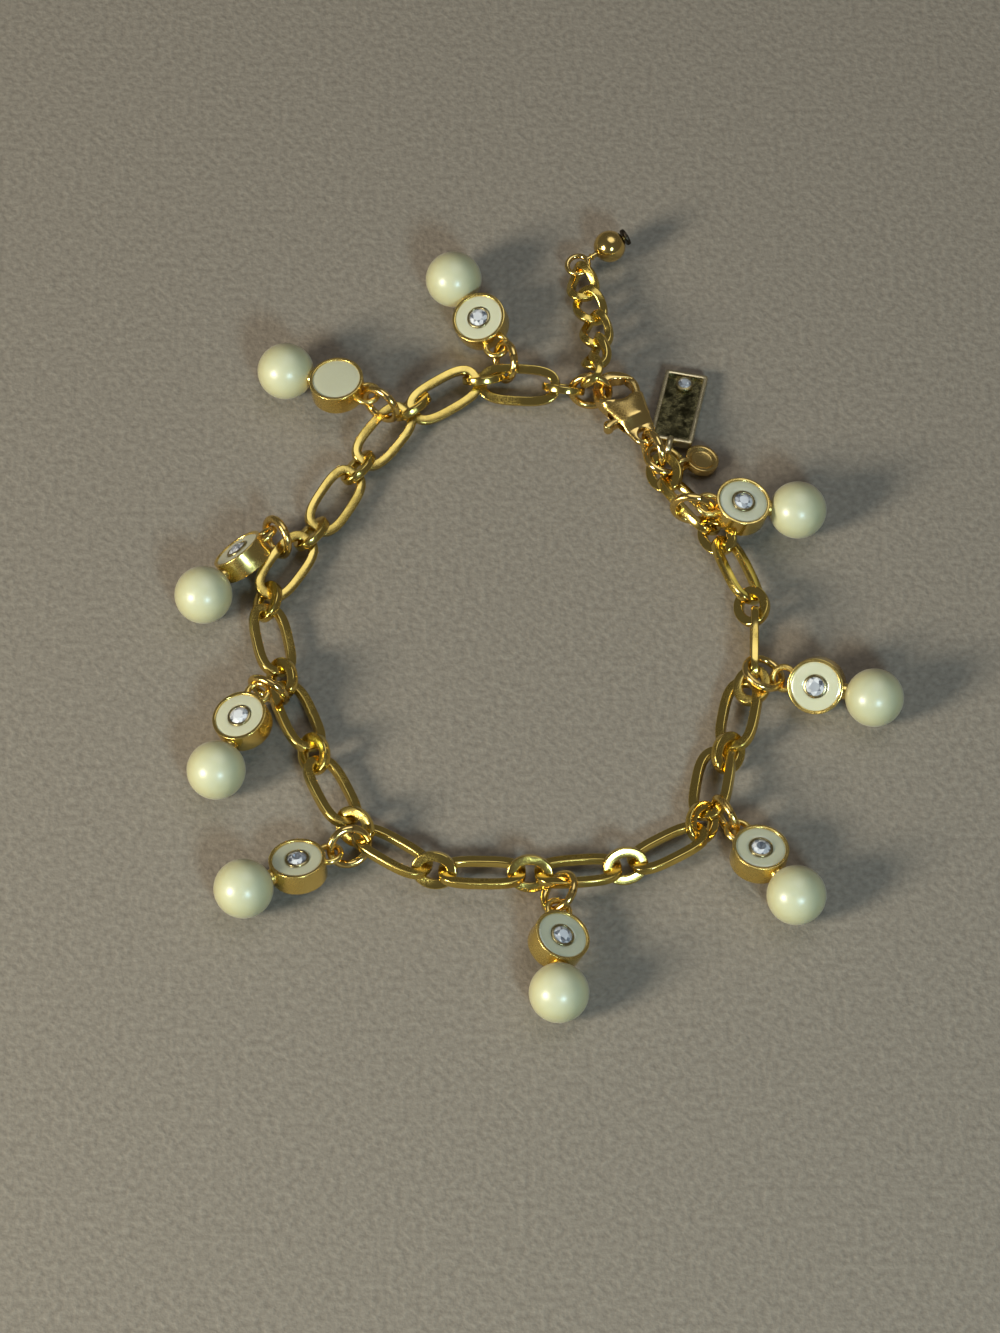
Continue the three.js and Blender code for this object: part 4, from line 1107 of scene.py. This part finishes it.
# Tag and small disc charm, on the tag ring
def tag_frames():
    clasp_ring = chain["clasp_ring"]
    start = on_ring(clasp_ring, RING_MIDDLE, TAG_AT)
    turn = math.radians(TAG_AT)
    wire = clasp_ring[:3, 1] * math.cos(turn) - clasp_ring[:3, 0] * math.sin(turn)
    loop = start + direction(TAG_RING_LEADS, TAG_RING_RISE) * RING_REACH
    loop_end = TAG_LOOP_AT - (TAG_LOOP_DIAMETER - TAG_LOOP_WIRE) / 2
    loop_low = loop - UP * shift[2]
    along = leaning(loop_low, TAG_HEADING, TAG_THICK / 2, TAG_LENGTH / 2 - loop_end)
    tag = frame_at(loop - along * loop_end, unit(np.cross(along, UP)), along)
    ring = ring_frame(start, wire, loop, tag[:3, 2], TAG_RING_TURN)
    inset = RING_DIAMETER / 2 - RING_WIRE - HANGING_GAP - DISC_LOOP_WIRE / 2
    hang = on_ring(ring, inset, DISC_AT)
    reach = DISC_LOOP_DIAMETER - 1.5 * DISC_LOOP_WIRE
    hang_low = hang - UP * shift[2]
    way = leaning(hang_low, DISC_HEADING, DISC_THICK / 2, reach + DISC_DIAMETER)
    return tag, rolled_frame(hang + way * (reach + DISC_DIAMETER / 2), way, DISC_ROLL)


tag_frame, disc_frame = tag_frames()


def rectangle(shape, width, length, height, corner):
    """A ring of vertices round a rectangle with round corners."""
    made, steps = [], 4
    for index, (sx, sy) in enumerate(((1, 1), (-1, 1), (-1, -1), (1, -1))):
        for step in range(steps + 1):
            turn = math.tau / 4 * (index + step / steps)
            made.append(shape.verts.new((
                sx * (width / 2 - corner) + corner * math.cos(turn),
                sy * (length / 2 - corner) + corner * math.sin(turn), height,
            )))
    return made


def make_tag():
    half = TAG_THICK / 2
    ease, chamfer, fall = 0.1, 0.05, 0.03  # how far the edges are rounded, and their middle row
    shape = bmesh.new()
    rows = [
        rectangle(shape, TAG_WIDTH - 2 * rim + grown, TAG_LENGTH - 2 * rim + grown, height,
                  corner) for rim, grown, height, corner in (
            (0, -2 * ease, -half, 0.2), (0, -chamfer, -half + fall, 0.27),
            (0, 0, -half + ease, 0.3), (0, 0, half - ease, 0.3),
            (0, -chamfer, half - fall, 0.27), (0, -2 * ease, half, 0.2),
            (TAG_RIM, 2 * ease, half, 0.2), (TAG_RIM, chamfer, half - fall, 0.16),
            (TAG_RIM, 0, half - ease, 0.14), (TAG_RIM, 0, half - TAG_DEPTH, 0.14),
        )
    ]
    for lower, upper in zip(rows, rows[1:]):
        for index in range(len(lower)):
            after = (index + 1) % len(lower)
            shape.faces.new((lower[index], lower[after], upper[after], upper[index]))
    shape.faces.new(rows[0])
    shape.faces.new(rows[-1]).material_index = 1
    wire_eye(shape, TAG_LOOP_DIAMETER, TAG_LOOP_WIRE, sides=40,
             placed=turned_to(y=TAG_LOOP_AT, axis="Y", degrees=90))
    laid(shape, tag_frame)
    dress(finished(shape, "tray_tag", pale_gold, dark_mirror, angle=30), ["tag"])


def make_disc():
    radius, half, soft = DISC_DIAMETER / 2, DISC_THICK / 2, 0.12
    shape = bmesh.new()
    revolve(shape, rounded([
        [0, -half], [radius, -half], [radius, half], [radius - DISC_RIM, half],
        [radius - 2 * DISC_RIM, half - DISC_DISH], [0, half - DISC_DISH],
    ], soft), sides=56)
    loop_at = -radius - DISC_LOOP_DIAMETER / 2 + DISC_LOOP_WIRE
    wire_eye(shape, DISC_LOOP_DIAMETER, DISC_LOOP_WIRE, sides=36,
             placed=turned_to(x=loop_at, axis="X", degrees=90))
    laid(shape, disc_frame)
    dress(finished(shape, "dished_disc", cast_gold), ["small_disc_charm"])


make_link_chain()
make_jump_rings()
make_extender()
make_drums()
make_enamels()
make_stones()
make_pearls()
make_casting("clasp_body_casting", "clasp_body", "bracelet", 0.45)
make_casting("clasp_lever_casting", "clasp_lever", "lever", 0.2)
make_tag()
make_disc()


# Floor, light and camera
def make_floor():
    half = 1.5
    mesh = bpy.data.meshes.new("pale_floor")
    corners = [(half * x, half * y, 0) for x, y in ((-1, -1), (1, -1), (1, 1), (-1, 1))]
    mesh.from_pydata(corners, [], [(0, 1, 2, 3)])
    material, tree, shader = new_material("pale_cloth_floor")
    nap = noise(tree, object_place(tree), 1500.0, 4.0)
    tone = ranged(tree, nap, 0.3, 0.7)
    fill(shader, {
        "Base Color": blended(tree, tone, (0.225, 0.190, 0.146, 1), (0.316, 0.273, 0.212, 1)),
        "Roughness": 0.9,
    })
    bumped(tree, shader, (nap, 0.00012))
    mesh.materials.append(material)
    linked_object("pale_floor", mesh)


def add_light(name, place, target, size, power, colour):
    light = bpy.data.lights.new(name, "AREA")
    light.shape = "DISK"
    light.size = size
    light.energy = power
    light.color = colour
    made = linked_object(name, light)
    made.location = place
    made.rotation_euler = (Vector(target) - Vector(place)).to_track_quat("-Z", "Y").to_euler()


def make_lights():
    centre = (-0.003, -0.004, 0.002)
    add_light("key", (-0.49, -0.31, 0.27), centre, 0.20, 4.2, (1.0, 0.95, 0.82))
    add_light("overhead", (0.12, 0.22, 0.75), centre, 0.60, 1.1, (0.95, 0.96, 1.0))
    add_light("window", (0.19, -0.55, 0.39), centre, 0.14, 2.2, (0.55, 0.82, 1.0))
    world = bpy.data.worlds.new("studio")
    world.use_nodes = True
    fill(world.node_tree.nodes["Background"], {"Color": (0.10, 0.095, 0.088, 1), "Strength": 1.0})
    bpy.context.scene.world = world


# The camera has the photograph's view: 58 degrees down, 9.6 pixels to a millimetre
PHOTO_HIGH = 1333
FOCAL_PIXELS = 5200
PIXELS_PER_MM = 9.6
ELEVATION = 58
VIEW_CENTRE = np.array([-3.43, -3.6, 0.0])


def make_camera():
    camera = bpy.data.cameras.new("photo_view")
    camera.sensor_fit = "VERTICAL"
    camera.sensor_height = 36
    camera.lens = FOCAL_PIXELS * camera.sensor_height / PHOTO_HIGH
    camera.clip_start = 0.01
    target = Vector((VIEW_CENTRE + shift) * MM)
    turn = math.radians(ELEVATION)
    distance = FOCAL_PIXELS / PIXELS_PER_MM * MM
    made = linked_object("photo_view", camera)
    made.location = target + Vector((0, -math.cos(turn), math.sin(turn))) * distance
    made.rotation_euler = (math.radians(90 - ELEVATION), 0, 0)
    bpy.context.scene.camera = made


make_floor()
make_lights()
make_camera()
bpy.context.scene.view_settings.view_transform = "Standard"
bpy.context.view_layer.update()
